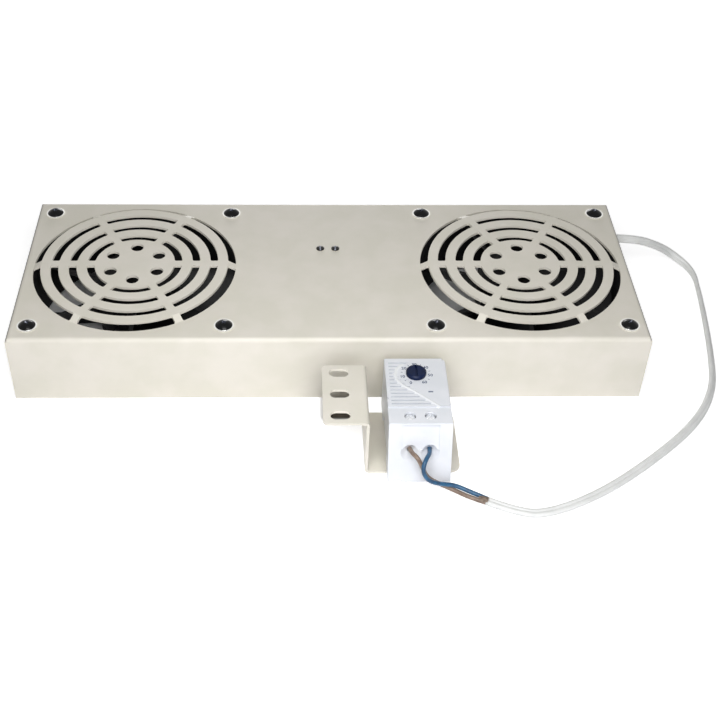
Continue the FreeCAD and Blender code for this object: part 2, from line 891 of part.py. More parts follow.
def terminal_inserts():
    inserts = []
    for i in POLES:
        solid = box(
            f"insert_{i + 1}_body", "insert_width - window_gap",
            "block_depth - 2 * insert_margin - window_gap",
            "block_height - 2 * insert_cover - window_gap", f"{i} * pole_pitch", "block_back",
            f"{BLOCK_BOTTOM} + insert_cover + window_gap / 2",
        )
        way = cylinder(
            f"insert_{i + 1}_way", "pole_bore", "block_depth + 2", f"{i} * pole_pitch",
            "block_back - block_depth / 2 - 1", "block_level", "Y",
        )
        threads = [
            cylinder(
                f"insert_{i + 1}_thread_{end + 1}", "grub_radius", "block_height / 2",
                f"{i} * pole_pitch", f"block_back + {end} * block_depth / 4", BLOCK_BOTTOM,
            )
            for end in (-1, 1)
        ]
        inserts.append(cut(f"insert_{i + 1}", solid, fuse(f"insert_{i + 1}_tools", [way] + threads)))
    return node(group("insert_set", inserts), "terminal_inserts")


def terminal_grub_screws():
    """Six slotted clamping screws, reached from the open underside."""
    screws = []
    for i in POLES:
        for end in (-1, 1):
            name = f"grub_{i + 1}_{end + 1}"
            at = (f"{i} * pole_pitch", f"block_back + {end} * block_depth / 4")
            shank = cylinder(
                name + "_shank", "grub_radius - 0.05", "block_height / 2 - pole_bore - 0.6", *at,
                f"{BLOCK_BOTTOM} + 0.4",
            )
            slot = box(name + "_slot", "4 * grub_radius", "0.6", "1.2", *at, f"{BLOCK_BOTTOM}")
            screws.append(cut(name, shank, slot))
    return node(group("grub_set", screws), "terminal_grub_screws")


def block_fasteners():
    """Two small screws down through the top and the strip, with their nuts underneath."""
    screws, nuts = [], []
    for side in SIDES.values():
        at = (f"{side} * pole_pitch / 2", "block_back")
        name = f"block_screw_{side + 1}"
        long = "sheet_metal + block_height + block_nut_thick + 1"
        shank = cylinder(name + "_shank", "block_screw", long, *at, f"tray_height - ({long})")
        head = dome(name + "_head", "block_screw_head", "block_screw_dome", *at, "tray_height")
        screws.append(fuse(name, [shank, head]))
        nuts.append(
            hex_nut(f"block_nut_{side + 1}", "block_nut", "block_screw + thread_gap", "block_nut_thick",
                    *at, f"{BLOCK_BOTTOM} - block_nut_thick")
        )
    node(group("block_screw_set", screws), "block_screws")
    return node(group("block_nut_set", nuts), "block_nuts")


def hex_nut(name, radius, bore, thick, x, y, z, axis="Z"):
    outside = turn(doc.addObject("Part::Prism", f"{name}_hexagon"), AXES[axis])
    bind(outside, Circumradius=radius, Height=thick)
    move(outside, x, y, z)
    return cut(name, outside, cylinder(f"{name}_bore", bore, thick, x, y, z, axis))


WALL = "tray_depth / 2"


def inlet_body():
    """The appliance inlet: a flange on the back wall and a socket that opens to the back."""
    flange = box(
        "inlet_flange", "inlet_flange_width", "inlet_flange_thick", "inlet_flange_height",
        0, f"{WALL} + inlet_flange_thick / 2", "inlet_level - inlet_flange_height / 2",
    )
    barrel = box(
        "inlet_barrel", "inlet_width", "inlet_depth + inlet_flange_thick / 2", "inlet_height",
        0, f"{WALL} - inlet_depth / 2 + inlet_flange_thick / 4", "inlet_level - inlet_height / 2",
    )
    room = Body("inlet_room")
    half, tall = "(inlet_width / 2 - inlet_wall)", "(inlet_height / 2 - inlet_wall)"
    outline = polygon(
        room.sketch("XZ_Plane", z=f"0 - {WALL} - inlet_flange_thick - 1"),
        [
            (f"0 - {half}", f"inlet_level - {tall}"),
            (half, f"inlet_level - {tall}"),
            (half, f"inlet_level + {tall} - inlet_chamfer"),
            (f"{half} - inlet_chamfer", f"inlet_level + {tall}"),
            (f"inlet_chamfer - {half}", f"inlet_level + {tall}"),
            (f"0 - {half}", f"inlet_level + {tall} - inlet_chamfer"),
        ],
    )
    room.pad(outline, "inlet_recess + 1")
    tools = [room.body]
    for side in SIDES.values():
        tools.append(
            cylinder(
                f"inlet_ear_hole_{side + 1}", "inlet_screw + screw_gap", "inlet_flange_thick + 2",
                f"{side} * inlet_screw_span / 2", f"{WALL} - 1", "inlet_level", "Y",
            )
        )
    for i, (x, z) in enumerate(PIN_PLACES):
        tools.append(
            box(
                f"pin_way_{i}", "pin_width + thread_gap", "inlet_depth * 2", "pin_height + thread_gap",
                x, f"{WALL} - inlet_depth", f"{z} - pin_height / 2 - thread_gap / 2",
            )
        )
    shell = fuse("inlet_shell", [flange, barrel])
    return node(cut("inlet", shell, fuse("inlet_tools", tools)), "inlet_body")


PIN_PLACES = (
    ("0 - pin_span", "inlet_level - pin_drop"),
    ("pin_span", "inlet_level - pin_drop"),
    ("0", "inlet_level + pin_drop"),
)


def inlet_pins():
    """Three flat pins through the inlet's floor, with tails for the leads."""
    pins = [
        box(
            f"inlet_pin_{i}", "pin_width", "inlet_depth + pin_tail", "pin_height",
            x, f"{WALL} - (inlet_depth + pin_tail) / 2", f"{z} - pin_height / 2",
        )
        for i, (x, z) in enumerate(PIN_PLACES)
    ]
    return node(group("inlet_pin_set", pins), "inlet_pins")


def inlet_screws():
    screws = []
    for side in SIDES.values():
        at = f"{side} * inlet_screw_span / 2"
        shank = cylinder(
            f"inlet_screw_{side + 1}_shank", "inlet_screw", "inlet_flange_thick + sheet_metal + 3",
            at, f"{WALL} - sheet_metal - 3", "inlet_level", "Y",
        )
        head = cone(
            f"inlet_screw_{side + 1}_head", "inlet_screw_head", "inlet_screw", "1.4",
            at, f"{WALL} + inlet_flange_thick", "inlet_level", "Y",
        )
        screws.append(fuse(f"inlet_screw_{side + 1}", [shank, head]))
    nuts = [
        hex_nut(
            f"inlet_nut_{side + 1}", "inlet_screw_head", "inlet_screw + thread_gap", "2",
            f"{side} * inlet_screw_span / 2", f"{WALL} - sheet_metal - 2", "inlet_level", "Y",
        )
        for side in SIDES.values()
    ]
    node(group("inlet_screw_set", screws), "inlet_screws")
    return node(group("inlet_nut_set", nuts), "inlet_nuts")


def earth_stud():
    """A stud pressed into the back wall, with its nut, and the lug that the earth lead ends in."""
    x, inside = "0 - stud_offset", f"({WALL} - sheet_metal)"
    node(
        cylinder("stud", "stud_radius", "stud_length", x, inside, "stud_level", "-Y"), "earth_stud"
    )
    ring = tube(
        "lug_ring", "lug_radius", "stud_radius + screw_gap", "lug_thick", x, f"{inside} - lug_thick",
        "stud_level", "Y",
    )
    barrel = cylinder(
        "lug_crimp", "lug_barrel", "lug_barrel_length", f"{x} + lug_radius - 0.6",
        f"{inside} - lug_barrel - 0.1", "stud_level", "X",
    )
    node(fuse("lug", [ring, barrel]), "earth_lug")
    return node(
        hex_nut("stud_nut_part", "stud_nut", "stud_radius + thread_gap", "3",
                x, f"{inside} - lug_thick - 3", "stud_level", "Y"),
        "earth_nut",
    )


def cable_grommet():
    """A rubber grommet in the right wall: a neck through the sheet between a rim and a collar."""
    wall = "(tray_width / 2)"
    at = ("cable_place", "cable_level", "X")
    pieces = [
        cylinder("grommet_outer_rim", "grommet_rim", "grommet_rim_thick", wall, *at),
        cylinder("grommet_neck_ring", "grommet_neck", "sheet_metal", f"{wall} - sheet_metal", *at),
        cylinder(
            "grommet_inner_collar", "grommet_collar", "fan_side_gap - 0.2",
            f"{wall} - sheet_metal - fan_side_gap + 0.2", *at,
        ),
    ]
    bore = cylinder(
        "grommet_bore", "cable_radius + grommet_bore_gap", "4 * grommet_rim",
        f"{wall} - 2 * grommet_rim", *at
    )
    return node(cut("grommet", fuse("grommet_rings", pieces), bore), "cable_grommet")


terminal_block()
terminal_inserts()
terminal_grub_screws()
block_fasteners()
inlet_body()
inlet_pins()
inlet_screws()
earth_stud()
cable_grommet()


# ---- the bracket and its DIN rail -----------------------------------------------------------


def thermostat_bracket():
    """A Z bent from one strip: a slotted rack ear at the top, a web, and a base on the ground."""
    strip = Body("bracket")
    outline = polygon(
        strip.sketch("XZ_Plane"),
        [
            ("web_offset - ear_length", "bracket_height"),
            ("web_offset", "bracket_height"),
            ("web_offset", "bracket_metal"),
            ("web_offset + base_length", "bracket_metal"),
            ("web_offset + base_length", "0"),
            ("web_offset - bracket_metal", "0"),
            ("web_offset - bracket_metal", "bracket_height - bracket_metal"),
            ("web_offset - ear_length", "bracket_height - bracket_metal"),
        ],
    )
    strip.pad(outline, "bracket_width", both=True)
    web, top, metal = size("web_offset"), size("bracket_height"), size("bracket_metal")

    def at_bend(places):
        return lambda middle, edge: abs(middle.y) < 1e-6 and any(
            abs(middle.x - x) < 1e-6 and abs(middle.z - z) < 1e-6 for x, z in places
        )

    strip.round("bend_outer", at_bend([(web, top), (web - metal, 0)]))
    strip.round("bend_outer - bracket_metal", at_bend([(web, metal), (web - metal, top - metal)]))
    tip, toe = web + size("base_length"), web - size("ear_length")
    strip.round("base_corner", lambda middle, edge: is_upright(edge) and abs(middle.x - tip) < 1e-6)
    strip.round("ear_corner", lambda middle, edge: is_upright(edge) and abs(middle.x - toe) < 1e-6)
    tools = []
    straight = "(ear_slot_length - ear_slot_width)"
    middle = "(web_offset - ear_slot_setback)"
    for i in POLES:
        y = f"{i} * rack_pitch"
        low = "bracket_height - 3 * bracket_metal"
        parts = [box(f"ear_slot_{i + 1}_middle", straight, "ear_slot_width", "5 * bracket_metal", middle, y, low)]
        for side in SIDES.values():
            parts.append(
                cylinder(
                    f"ear_slot_{i + 1}_end_{side + 1}", "ear_slot_width / 2", "5 * bracket_metal",
                    f"{middle} + {side} * {straight} / 2", y, low,
                )
            )
        tools.append(fuse(f"ear_slot_{i + 1}", parts))
    for side in SIDES.values():
        tools.append(
            cylinder(
                f"rivet_hole_{side + 1}", "rivet_radius + thread_gap", "4 * bracket_metal",
                f"case_place + {side} * rivet_span / 2", 0, "0 - bracket_metal",
            )
        )
    shaped = cut("bracket_pierced", strip.body, group("bracket_piercings", tools))
    return node(move(shaped, 0, "bracket_place", 0), "thermostat_bracket")


def din_rail():
    """A short top-hat rail whose lips the thermostat's hooks grip."""
    rail = Body("rail")
    lip, wall, metal = "rail_width / 2", "rail_web / 2", "rail_metal"
    foot, top = "bracket_metal", "(bracket_metal + rail_height)"
    right = [
        (lip, top),
        (lip, f"{top} - {metal}"),
        (wall, f"{top} - {metal}"),
        (wall, foot),
    ]
    inner = [
        (f"{wall} - {metal}", f"{foot} + {metal}"),
        (f"{wall} - {metal}", top),
    ]
    mirrored = [(f"0 - ({y})", z) for y, z in right + inner]
    outline = right + mirrored[3::-1] + mirrored[:3:-1] + inner
    rail.pad(polygon(rail.sketch("YZ_Plane"), outline), "rail_length", both=True)
    holes = [
        cylinder(f"rail_hole_{side + 1}", "rivet_radius + thread_gap", "4 * bracket_metal",
                 f"{side} * rivet_span / 2", 0, 0)
        for side in SIDES.values()
    ]
    pierced = cut("rail_pierced", rail.body, group("rail_holes", holes))
    return node(move(pierced, "case_place", "bracket_place", 0), "din_rail")


def rail_rivets():
    rivets = []
    for side in SIDES.values():
        at = (f"case_place + {side} * rivet_span / 2", "bracket_place")
        shank = cylinder(
            f"rivet_{side + 1}_shank", "rivet_radius", "bracket_metal + rail_metal - 0.1", *at, "0.1"
        )
        head = dome(
            f"rivet_{side + 1}_head", "rivet_head", "rivet_radius * 0.6", *at, "bracket_metal + rail_metal"
        )
        rivets.append(fuse(f"rivet_{side + 1}", [shank, head]))
    return node(group("rivet_set", rivets), "rail_rivets")


thermostat_bracket()
din_rail()
rail_rivets()


# ---- the thermostat -------------------------------------------------------------------------

CREST = "(case_height - deck_drop)"
STEP = "(slope_run + deck_length - case_near)"
FACE = "(slope * (wire_level - case_foot) - case_near)"


def on_slope(level):
    """How far along the case its sloping end lies at a level."""
    return f"(slope * ({level} - case_foot) - case_near)"


def seat_on_bracket(thing):
    return move(group(f"{thing.Name}_seated", [thing]), "case_place", "bracket_place", 0)


def thermostat_base():
    """The lower half, with a recess for the rail and two hooks under its lips."""
    lower = Body("case_base")
    lip, top = "rail_width / 2", "(bracket_metal + rail_height)"
    hook, gap = f"({lip} - clip_hook)", "clip_gap"
    under, over = f"{top} - rail_metal - {gap}", f"{top} + {gap} / 3"
    outline = polygon(
        lower.sketch("YZ_Plane"),
        [
            ("0 - case_near", "case_foot"),
            (f"0 - {hook}", "case_foot"),
            (f"0 - {hook}", under),
            (f"0 - {lip} - {gap}", under),
            (f"0 - {lip} - {gap}", over),
            (f"{lip} + {gap}", over),
            (f"{lip} + {gap}", under),
            (hook, under),
            (hook, "case_foot"),
            ("case_far", "case_foot"),
            ("case_far", "case_seam"),
            (on_slope("case_seam"), "case_seam"),
        ],
    )
    lower.pad(outline, "case_width", both=True)
    far, half = size("case_far"), size("case_width") / 2
    lower.round(
        "case_corner",
        lambda middle, edge: is_upright(edge) and abs(abs(middle.x) - half) < 1e-6
        and abs(middle.y - far) < 1e-6,
    )
    latch = box(
        "latch_slot", "latch_width", "2 * latch_height", "2 * latch_height", "0 - case_width / 3",
        on_slope("case_foot"), "case_foot - latch_height",
    )
    return node(seat_on_bracket(cut("case_base_cut", lower.body, latch)), "thermostat_base")


def case_shell():
    """The hollow upper half with its stepped top and sloping wiring end."""
    upper = Body("case_cover")
    outline = polygon(
        upper.sketch("YZ_Plane"),
        [
            ("case_far", "case_seam"),
            ("case_far", "case_height"),
            (STEP, "case_height"),
            (STEP, CREST),
            (on_slope(CREST), CREST),
            (on_slope("case_seam"), "case_seam"),
        ],
    )
    upper.pad(outline, "case_width", both=True)
    far, half, seam = size("case_far"), size("case_width") / 2, size("case_seam")
    top = size("case_height")
    upper.round(
        "case_corner",
        lambda middle, edge: (is_upright(edge) and abs(middle.y - far) < 1e-6)
        or (abs(middle.z - top) < 1e-6 and abs(middle.y - far) < 1e-6),
    )
    upper.round(
        "deck_drop * 0.8",
        lambda middle, edge: abs(abs(middle.x) - half) < 1e-6 and abs(middle.z - top) < 1e-6
        and middle.z > seam + 1,
    )
    room = "case_near - end_wall + case_far - case_wall"
    inside = rectangle(
        upper.sketch(z="case_seam"), "case_width - 2 * case_wall", room,
        0, "(end_wall - case_near + case_far - case_wall) / 2",
    )
    upper.pocket(inside, f"{CREST} - case_wall - case_seam", reverse=True)
    panel = polygon(
        upper.sketch("YZ_Plane"),
        [
            (f"{on_slope(CREST)} - 2", f"{CREST} - 0.9"),
            (f"{on_slope(CREST)} + panel_depth", f"{CREST} - 0.9"),
            (f"{on_slope('panel_foot')} + panel_depth", "panel_foot"),
            (f"{on_slope('panel_foot')} - 2", "panel_foot"),
        ],
    )
    upper.pocket(panel, "case_width - 2 * cheek_width", both=True)
    return upper.body


def wire_ways(name, radius, length):
    """Straight bores that leave the case square to its sloping end, from inside it."""
    ways = []
    for side in SIDES.values():
        way = doc.addObject("Part::Cylinder", f"{name}_{side + 1}")
        way.Placement = FreeCAD.Placement(Vector(), Rotation(Vector(1, 0, 0), 71))
        bind(way, Radius=radius, Height=length, Placement__Rotation__Angle="90 deg - atan(slope)")
        ways.append(
            move(
                way, f"{side} * wire_place", f"{FACE} + ({length} - 1) * cos(atan(slope))",
                f"wire_level - ({length} - 1) * sin(atan(slope))",
            )
        )
    return ways


def funnels():
    """Round lead-in funnels at the mouths of the wire bores."""
    mouths = []
    grown = "(funnel_radius + (funnel_radius - wire_bore) * funnel_reach / funnel_depth)"
    for side in SIDES.values():
        mouth = doc.addObject("Part::Cone", f"funnel_{side + 1}")
        mouth.Placement = FreeCAD.Placement(Vector(), Rotation(Vector(1, 0, 0), 71))
        bind(
            mouth, Radius1="wire_bore", Radius2=grown, Height="funnel_depth + funnel_reach",
            Placement__Rotation__Angle="90 deg - atan(slope)",
        )
        mouths.append(
            move(
                mouth, f"{side} * wire_place", f"{FACE} + funnel_depth * cos(atan(slope))",
                "wire_level - funnel_depth * sin(atan(slope))",
            )
        )
    return mouths


def rib_grooves():
    """Grooves that leave flat ribs, stopping short of the plain ground round the dial."""
    count = int((size("case_far") + size("case_near") - size("slope_run") - size("deck_length")
                 - 2 * size("rib_margin")) / size("rib_pitch"))
    low = "case_height - rib_depth"
    grooves = [
        box(
            f"rib_groove_{i}", "case_width - 2 * rib_margin", "rib_groove", "2 * rib_depth",
            0, f"{STEP} + rib_margin + {i} * rib_pitch", low,
        )
        for i in range(count + 1)
    ]
    plain = doc.addObject("Part::Wedge", "dial_band")
    turn(plain, Rotation())
    bind(
        plain, Xmin="0", Xmax="case_width / 2 - knob_radius * 2", X2min="0 - dial_radius * 1.75",
        X2max="case_width / 2 - knob_radius * 2", Ymin="0",
        Ymax="case_far - knob_setback - dial_radius * 0.7 - " + STEP,
        Zmin="0", Z2min="0", Zmax="4 * rib_depth", Z2max="4 * rib_depth",
    )
    move(plain, "knob_radius * 2", STEP, "case_height - 2 * rib_depth")
    dial = cylinder(
        "dial_ground", "dial_radius", "4 * rib_depth", 0, "case_far - knob_setback",
        "case_height - 2 * rib_depth",
    )
    side_ground = box(
        "side_ground", "case_width / 2", "dial_radius * 0.7 + knob_setback", "4 * rib_depth",
        "case_width / 4", "case_far - (dial_radius * 0.7 + knob_setback) / 2",
        "case_height - 2 * rib_depth",
    )
    return cut(
        "rib_field", group("rib_grooves", grooves), fuse("plain_ground", [plain, dial, side_ground])
    )


def thermostat_cover():
    """The case's upper half with its ribs, screw wells, wire funnels and snap notches."""
    low = f"{CREST} - case_wall - 1"
    tools = [rib_grooves()]
    tools += wire_ways("cover_way", "wire_bore", "14") + funnels()
    for side in SIDES.values():
        tools.append(
            cylinder(
                f"well_{side + 1}", "well_radius", "case_wall + 3", f"{side} * wire_place",
                "slope_run + well_inset - case_near", low,
            )
        )
        tools.append(
            box(
                f"snap_notch_{side + 1}", "1.6", "1.4", "3", f"{side} * case_width / 2",
                f"{STEP} + 1.4 * rib_pitch - {side} * rib_pitch", "case_height - 2.6",
            )
        )
    tools.append(
        box(
            "index_slot", "index_length", "index_width", "2 * index_depth", "index_offset",
            "case_far - knob_setback - 2 * index_offset", "case_height - index_depth",
        )
    )
    tools.append(
        box(
            "corner_notch", "2 * notch_depth", "2 * notch_depth", "2 * notch_depth",
            "case_width / 2", "case_far - notch_depth", "case_height - notch_depth",
        )
    )
    tools.append(
        cylinder(
            "spindle_way", "spindle_radius + spindle_fit", "case_wall * 3", 0,
            "case_far - knob_setback", low,
        )
    )
    return node(
        seat_on_bracket(cut("cover_pierced", case_shell(), fuse("cover_tools", tools))),
        "thermostat_cover",
    )


def thermostat_knob():
    """A low round knob with a bevelled rim and a screwdriver slot."""
    at = (0, "case_far - knob_setback")
    low = "case_height + knob_gap"
    bevel = "knob_height / 3"
    solid = fuse(
        "knob_solid",
        [
            cylinder("knob_rim", "knob_radius", f"knob_height - {bevel}", *at, low),
            cone(
                "knob_bevel", "knob_radius", f"knob_radius - {bevel}", bevel, *at,
                f"{low} + knob_height - {bevel}",
            ),
        ],
    )
    slot = box(
        "knob_slot_room", "knob_slot", "knob_radius * 1.6", "knob_height / 2 + 1", *at,
        f"{low} + knob_height / 2",
    )
    node(seat_on_bracket(cut("knob", solid, slot)), "thermostat_knob")
    floor = "bimetal_level + bimetal_thick + spindle_gap"
    spindle = cylinder("spindle", "spindle_radius", f"{low} - ({floor})", *at, floor)
    return node(seat_on_bracket(spindle), "knob_spindle")


CLAMP_Y = "(slope_run + well_inset - case_near)"


def terminal_clamps():
    """Two brass clamps behind the wire bores."""
    blocks = []
    for side in SIDES.values():
        blocks.append(
            box(
                f"clamp_{side + 1}", "clamp_width", "clamp_length", "clamp_height",
                f"{side} * wire_place", CLAMP_Y, "case_seam + 0.5",
            )
        )
        blocks.append(
            cylinder(
                f"clamp_thread_{side + 1}", "clamp_screw + 0.05", "clamp_height",
                f"{side} * wire_place", CLAMP_Y, "wire_level",
            )
        )
    bodies, threads = blocks[::2], blocks[1::2]
    tools = fuse("clamp_tools", wire_ways("clamp_way", "wire_bore", "11") + threads)
    return node(
        seat_on_bracket(cut("clamps", group("clamp_bodies", bodies), tools)), "terminal_clamps"
    )


def clamp_screws():
    """Slotted screws under the wells."""
    screws = []
    top = f"({CREST} - clamp_head_depth)"
    for side in SIDES.values():
        at = (f"{side} * wire_place", CLAMP_Y)
        foot = "(wire_level + 1.6)"
        shank = cylinder(f"clamp_screw_{side + 1}_shank", "clamp_screw", f"{top} - {foot}", *at, foot)
        head = cylinder(
            f"clamp_screw_{side + 1}_head", "clamp_head", "clamp_head_thick", *at,
            f"{top} - clamp_head_thick",
        )
        slot = box(f"clamp_screw_{side + 1}_slot", "0.9", "3 * clamp_head", "2", *at, f"{top} - 0.9")
        screws.append(
            cut(f"clamp_screw_{side + 1}", fuse(f"clamp_screw_{side + 1}_body", [shank, head]), slot)
        )
    return node(seat_on_bracket(group("clamp_screw_set", screws)), "clamp_screws")


def thermostat_switch():
    """The bimetal strip under the spindle and the contact spring below it."""
    start = f"({CLAMP_Y} + clamp_length / 2)"
    middle = f"{start} + bimetal_length / 2"
    strip = box(
        "bimetal", "bimetal_width", "bimetal_length", "bimetal_thick", "0 - 1.5", middle, "bimetal_level"
    )
    node(seat_on_bracket(strip), "bimetal_strip")
    spring_level = "(bimetal_level - spring_drop)"
    spring = box(
        "spring", "spring_width", "bimetal_length", "spring_thick", "wire_place", middle, spring_level
    )
    contact = cylinder(
        "contact", "contact_radius", "spring_drop - spring_thick - 0.3",
        "wire_place - spring_width / 2 + contact_radius",
        f"{start} + bimetal_length - 3", f"{spring_level} + spring_thick",
    )
    return node(seat_on_bracket(fuse("spring_and_contact", [spring, contact])), "contact_spring")


thermostat_base()
thermostat_cover()
thermostat_knob()
terminal_clamps()
clamp_screws()
thermostat_switch()


# ---- leads inside the tray, and the cable between the tray and the thermostat ---------------


def wire_path(points):
    """Straight runs joined by tangent arcs as large as the two runs at each point allow."""
    edges, radii = [], []
    start = points[0]
    for before, corner, after in zip(points, points[1:], points[2:]):
        back, ahead = before - corner, after - corner
        reach = 0.45 * min(back.Length, ahead.Length)
        back.normalize()
        ahead.normalize()
        half_turn = (pi - back.getAngle(ahead)) / 2
        radius = reach / tan(half_turn)
        radii.append(radius)
        first, last = corner + back * reach, corner + ahead * reach
        inward = (back + ahead).normalize()
        middle = corner + inward * (radius / cos(half_turn) - radius)
        edges.append(Part.LineSegment(start, first).toShape())
        edges.append(Part.Arc(first, middle, last).toShape())
        start = last
    edges.append(Part.LineSegment(start, points[-1]).toShape())
    return Part.Wire(edges), radii


def wire(name, radius, points):
    """A round solid along the path."""
    points = [Vector(*point) for point in points]
    path, radii = wire_path(points)
    ring = Part.Wire(Part.Circle(points[0], points[1] - points[0], radius).toShape())
    shape = path.makePipeShell([ring], True, False)
    expected = pi * radius**2 * path.Length
    print(
        f"{name}: length {path.Length:.1f}, volume {shape.Volume / expected:.4f} of its section times"
        f" its length, radii {' '.join(f'{r:.1f}' for r in radii)}"
    )
    return shape


def leads(label, radius_name, routes):
    """One or more wires in one node."""
    thing = doc.addObject("Part::Feature", f"{label}_wires")
    shapes = [wire(label, size(radius_name), route) for route in routes]
    thing.Shape = shapes[0] if len(shapes) == 1 else Part.makeCompound(shapes)
    return node(thing, label)


def inner_leads():
    """Leads between the inlet, the block, the earth lug and the fans, and the cable's inner cores."""
    face_back = size("block_back") + size("block_depth") / 2
    face_front = size("block_back") - size("block_depth") / 2
    level, pole = size("block_level"), size("pole_pitch")
    tail = size("tray_depth") / 2 - size("inlet_depth") - size("pin_tail")
    low_pin, high_pin = size("inlet_level") - size("pin_drop"), size("inlet_level") + size("pin_drop")
    span = size("pin_span")
    leads("lead_live", "lead_radius", [[
        (span, tail, low_pin), (span, 33.5, low_pin), (7.8, 30.2, 22.5), (8.6, 30.4, 29.5),
        (pole, 28.6, level - 1.1), (pole, face_back, level - 1.1),
    ]])
    leads("lead_neutral", "lead_radius", [[
        (-span, tail, low_pin), (-span, 33.5, low_pin), (-7.8, 30.2, 22.5), (-8.6, 30.4, 29.5),
        (-pole, 28.8, level), (-pole, face_back, level),
    ]])
    crimp = -size("stud_offset") + size("lug_radius") - 0.6 + size("lug_barrel_length")
    deep = size("tray_depth") / 2 - size("sheet_metal") - size("lug_barrel") - 0.1
    leads("lead_earth", "lead_radius", [[
        (crimp, deep, size("stud_level")), (-28, deep, size("stud_level")), (-24.5, 56.5, 25.5), (-19.5, 47, 27),
        (-16.5, 39.5, 25.5), (-10.5, 35, 23.5), (-3.6, 33.2, 21.6), (0, 33.6, high_pin),
        (0, tail, high_pin),
    ]])
    gate = size("tray_width") / 2 - size("sheet_metal") - 3
    place, middle = size("cable_place"), size("cable_level")
    half = size("core_wire") + 0.05
    lane = size("tray_depth") / 2 - size("sheet_metal") - 1.8
    for label, rise, end in (
        ("inner_core_brown", half, (pole, level + 1.1)),
        ("inner_core_blue", -half, (0, level)),
    ):
        z = middle + rise
        drift = 2 if rise < 0 else 0
        leads(label, "core_wire", [[
            (gate, place, z), (159.5, place, z), (151, 49.5, z), (141, 57.5, z), (127, lane, z),
            (92, lane + 0.1, z), (75, 60, z), (58, 60.1, z), (44, 57.5, z),
            (33, 49, z), (24 - drift, 38, z + 0.5), (end[0] + 4, 33.5, end[1] - 0.5),
            (end[0], 30.5, end[1]), (end[0], face_back, end[1]),
        ]])
    rim = size("duct_radius") + size("barrel_wall") + 0.5
    out_x, out_y = size("fan_place") - rim * cos(radians(20)), -rim * sin(radians(20))
    leads("fan_lead_right", "lead_radius", [
        [(out_x, out_y, 23), (44, -18, 23), (30, -10, 27), (14, -4, 32), (3.4, -1.5, level - 0.4),
         (1, 3, level), (1, face_front, level)],
        [(out_x, out_y, 21), (44, -20.2, 21), (28, -14.5, 24), (9, -10.5, 31), (-4.8, -6, level - 0.4),
         (-pole + 1, 1.6, level), (-pole + 1, face_front, level)],
    ])
    leads("fan_lead_left", "lead_radius", [
        [(-out_x, out_y, 21), (-44, -20, 21), (-28, -18, 22), (-10, -16, 24.5), (-2.2, -8, 28.5),
         (-1, 1.5, level - 0.3), (-1, face_front, level)],
        [(-out_x, out_y, 23), (-44, -17.5, 24), (-28, -9, 28), (-15, -3, 33), (-pole - 1, 2, level),
         (-pole - 1, face_front, level)],
    ])


def outer_cable():
    """The cable from the grommet round to the bracket, where its two cores rise to the case."""
    gate = size("tray_width") / 2 - size("sheet_metal") - 3
    place, level = size("cable_place"), size("cable_level")
    leads("thermostat_cable", "cable_radius", [[
        (gate, place, level), (187, place, level), (204, 49.5, 21), (217.5, 58, 8.5),
        (230, 47.5, 2.3), (228.6, 27, 2.3), (224.9, -4, 2.3), (220.6, -33, 2.3), (215, -60, 2.3),
        (200, -86, 2.3), (171, -113, 2.3), (138, -137.8, 2.3), (107, -152, 2.3), (91, -149.5, 2.3),
        (77.9, -142.5, 2.3),
    ]])
    slope = size("slope")
    lean = (1 + slope**2) ** 0.5
    x, y = size("case_place"), size("bracket_place")
    face = slope * (size("wire_level") - size("case_foot")) - size("case_near")
    routes = {
        "core_blue": (1, [
            (44.4, -134.2, 12.6), (48.5, -134.4, 7.2), (58.5, -134.4, 6.2), (70.8, -137.3, 2.9),
            (78.35, -141.38, 2.3),
        ]),
        "core_brown": (-1, [
            (43.2, -129.6, 14.2), (46.6, -130.8, 6), (55.5, -133.6, 2.3), (69.7, -139.5, 2.3),
            (77.28, -143.54, 2.3),
        ]),
    }
    for label, (side, route) in routes.items():
        across = x + side * size("wire_place")
        mouth = [
            (across, y + face - out / lean, size("wire_level") + out * slope / lean) for out in (-8, 3)
        ]
        leads(label, "core_wire", [mouth + route])


inner_leads()
outer_cable()


# ---- check and write ------------------------------------------------------------------------

doc.recompute()
for thing in doc.Objects:
    if "Invalid" in thing.State or "Error" in thing.State:
        raise RuntimeError(f"{thing.Name} failed: {thing.State}")
for thing in nodes:
    if thing.Shape.isNull() or not thing.Shape.isValid() or not thing.Shape.Solids:
        raise RuntimeError(f"{thing.Label} has no valid solid")
os.makedirs("parts", exist_ok=True)
for thing in nodes:
    thing.Shape.exportStep(f"parts/{thing.Label}.step")
print(f"{len(nodes)} sub-parts, {sum(len(thing.Shape.Solids) for thing in nodes)} solids")
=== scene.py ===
import math

import bmesh
import bpy
from mathutils import Matrix, Vector


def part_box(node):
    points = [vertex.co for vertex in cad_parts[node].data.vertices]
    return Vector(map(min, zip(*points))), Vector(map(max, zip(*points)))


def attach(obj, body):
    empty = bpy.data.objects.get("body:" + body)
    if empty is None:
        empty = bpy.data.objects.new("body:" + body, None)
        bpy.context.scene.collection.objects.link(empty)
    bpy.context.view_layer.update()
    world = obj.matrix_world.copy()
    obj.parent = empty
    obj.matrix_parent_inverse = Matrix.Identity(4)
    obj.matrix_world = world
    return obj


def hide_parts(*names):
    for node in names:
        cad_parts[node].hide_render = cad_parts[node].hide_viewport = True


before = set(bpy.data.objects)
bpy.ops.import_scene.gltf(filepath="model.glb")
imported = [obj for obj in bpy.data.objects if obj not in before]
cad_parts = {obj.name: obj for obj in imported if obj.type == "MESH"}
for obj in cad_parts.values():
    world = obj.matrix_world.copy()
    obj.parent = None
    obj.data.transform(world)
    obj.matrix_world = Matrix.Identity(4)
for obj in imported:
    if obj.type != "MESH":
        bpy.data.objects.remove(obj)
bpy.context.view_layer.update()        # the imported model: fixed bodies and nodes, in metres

scene = bpy.context.scene
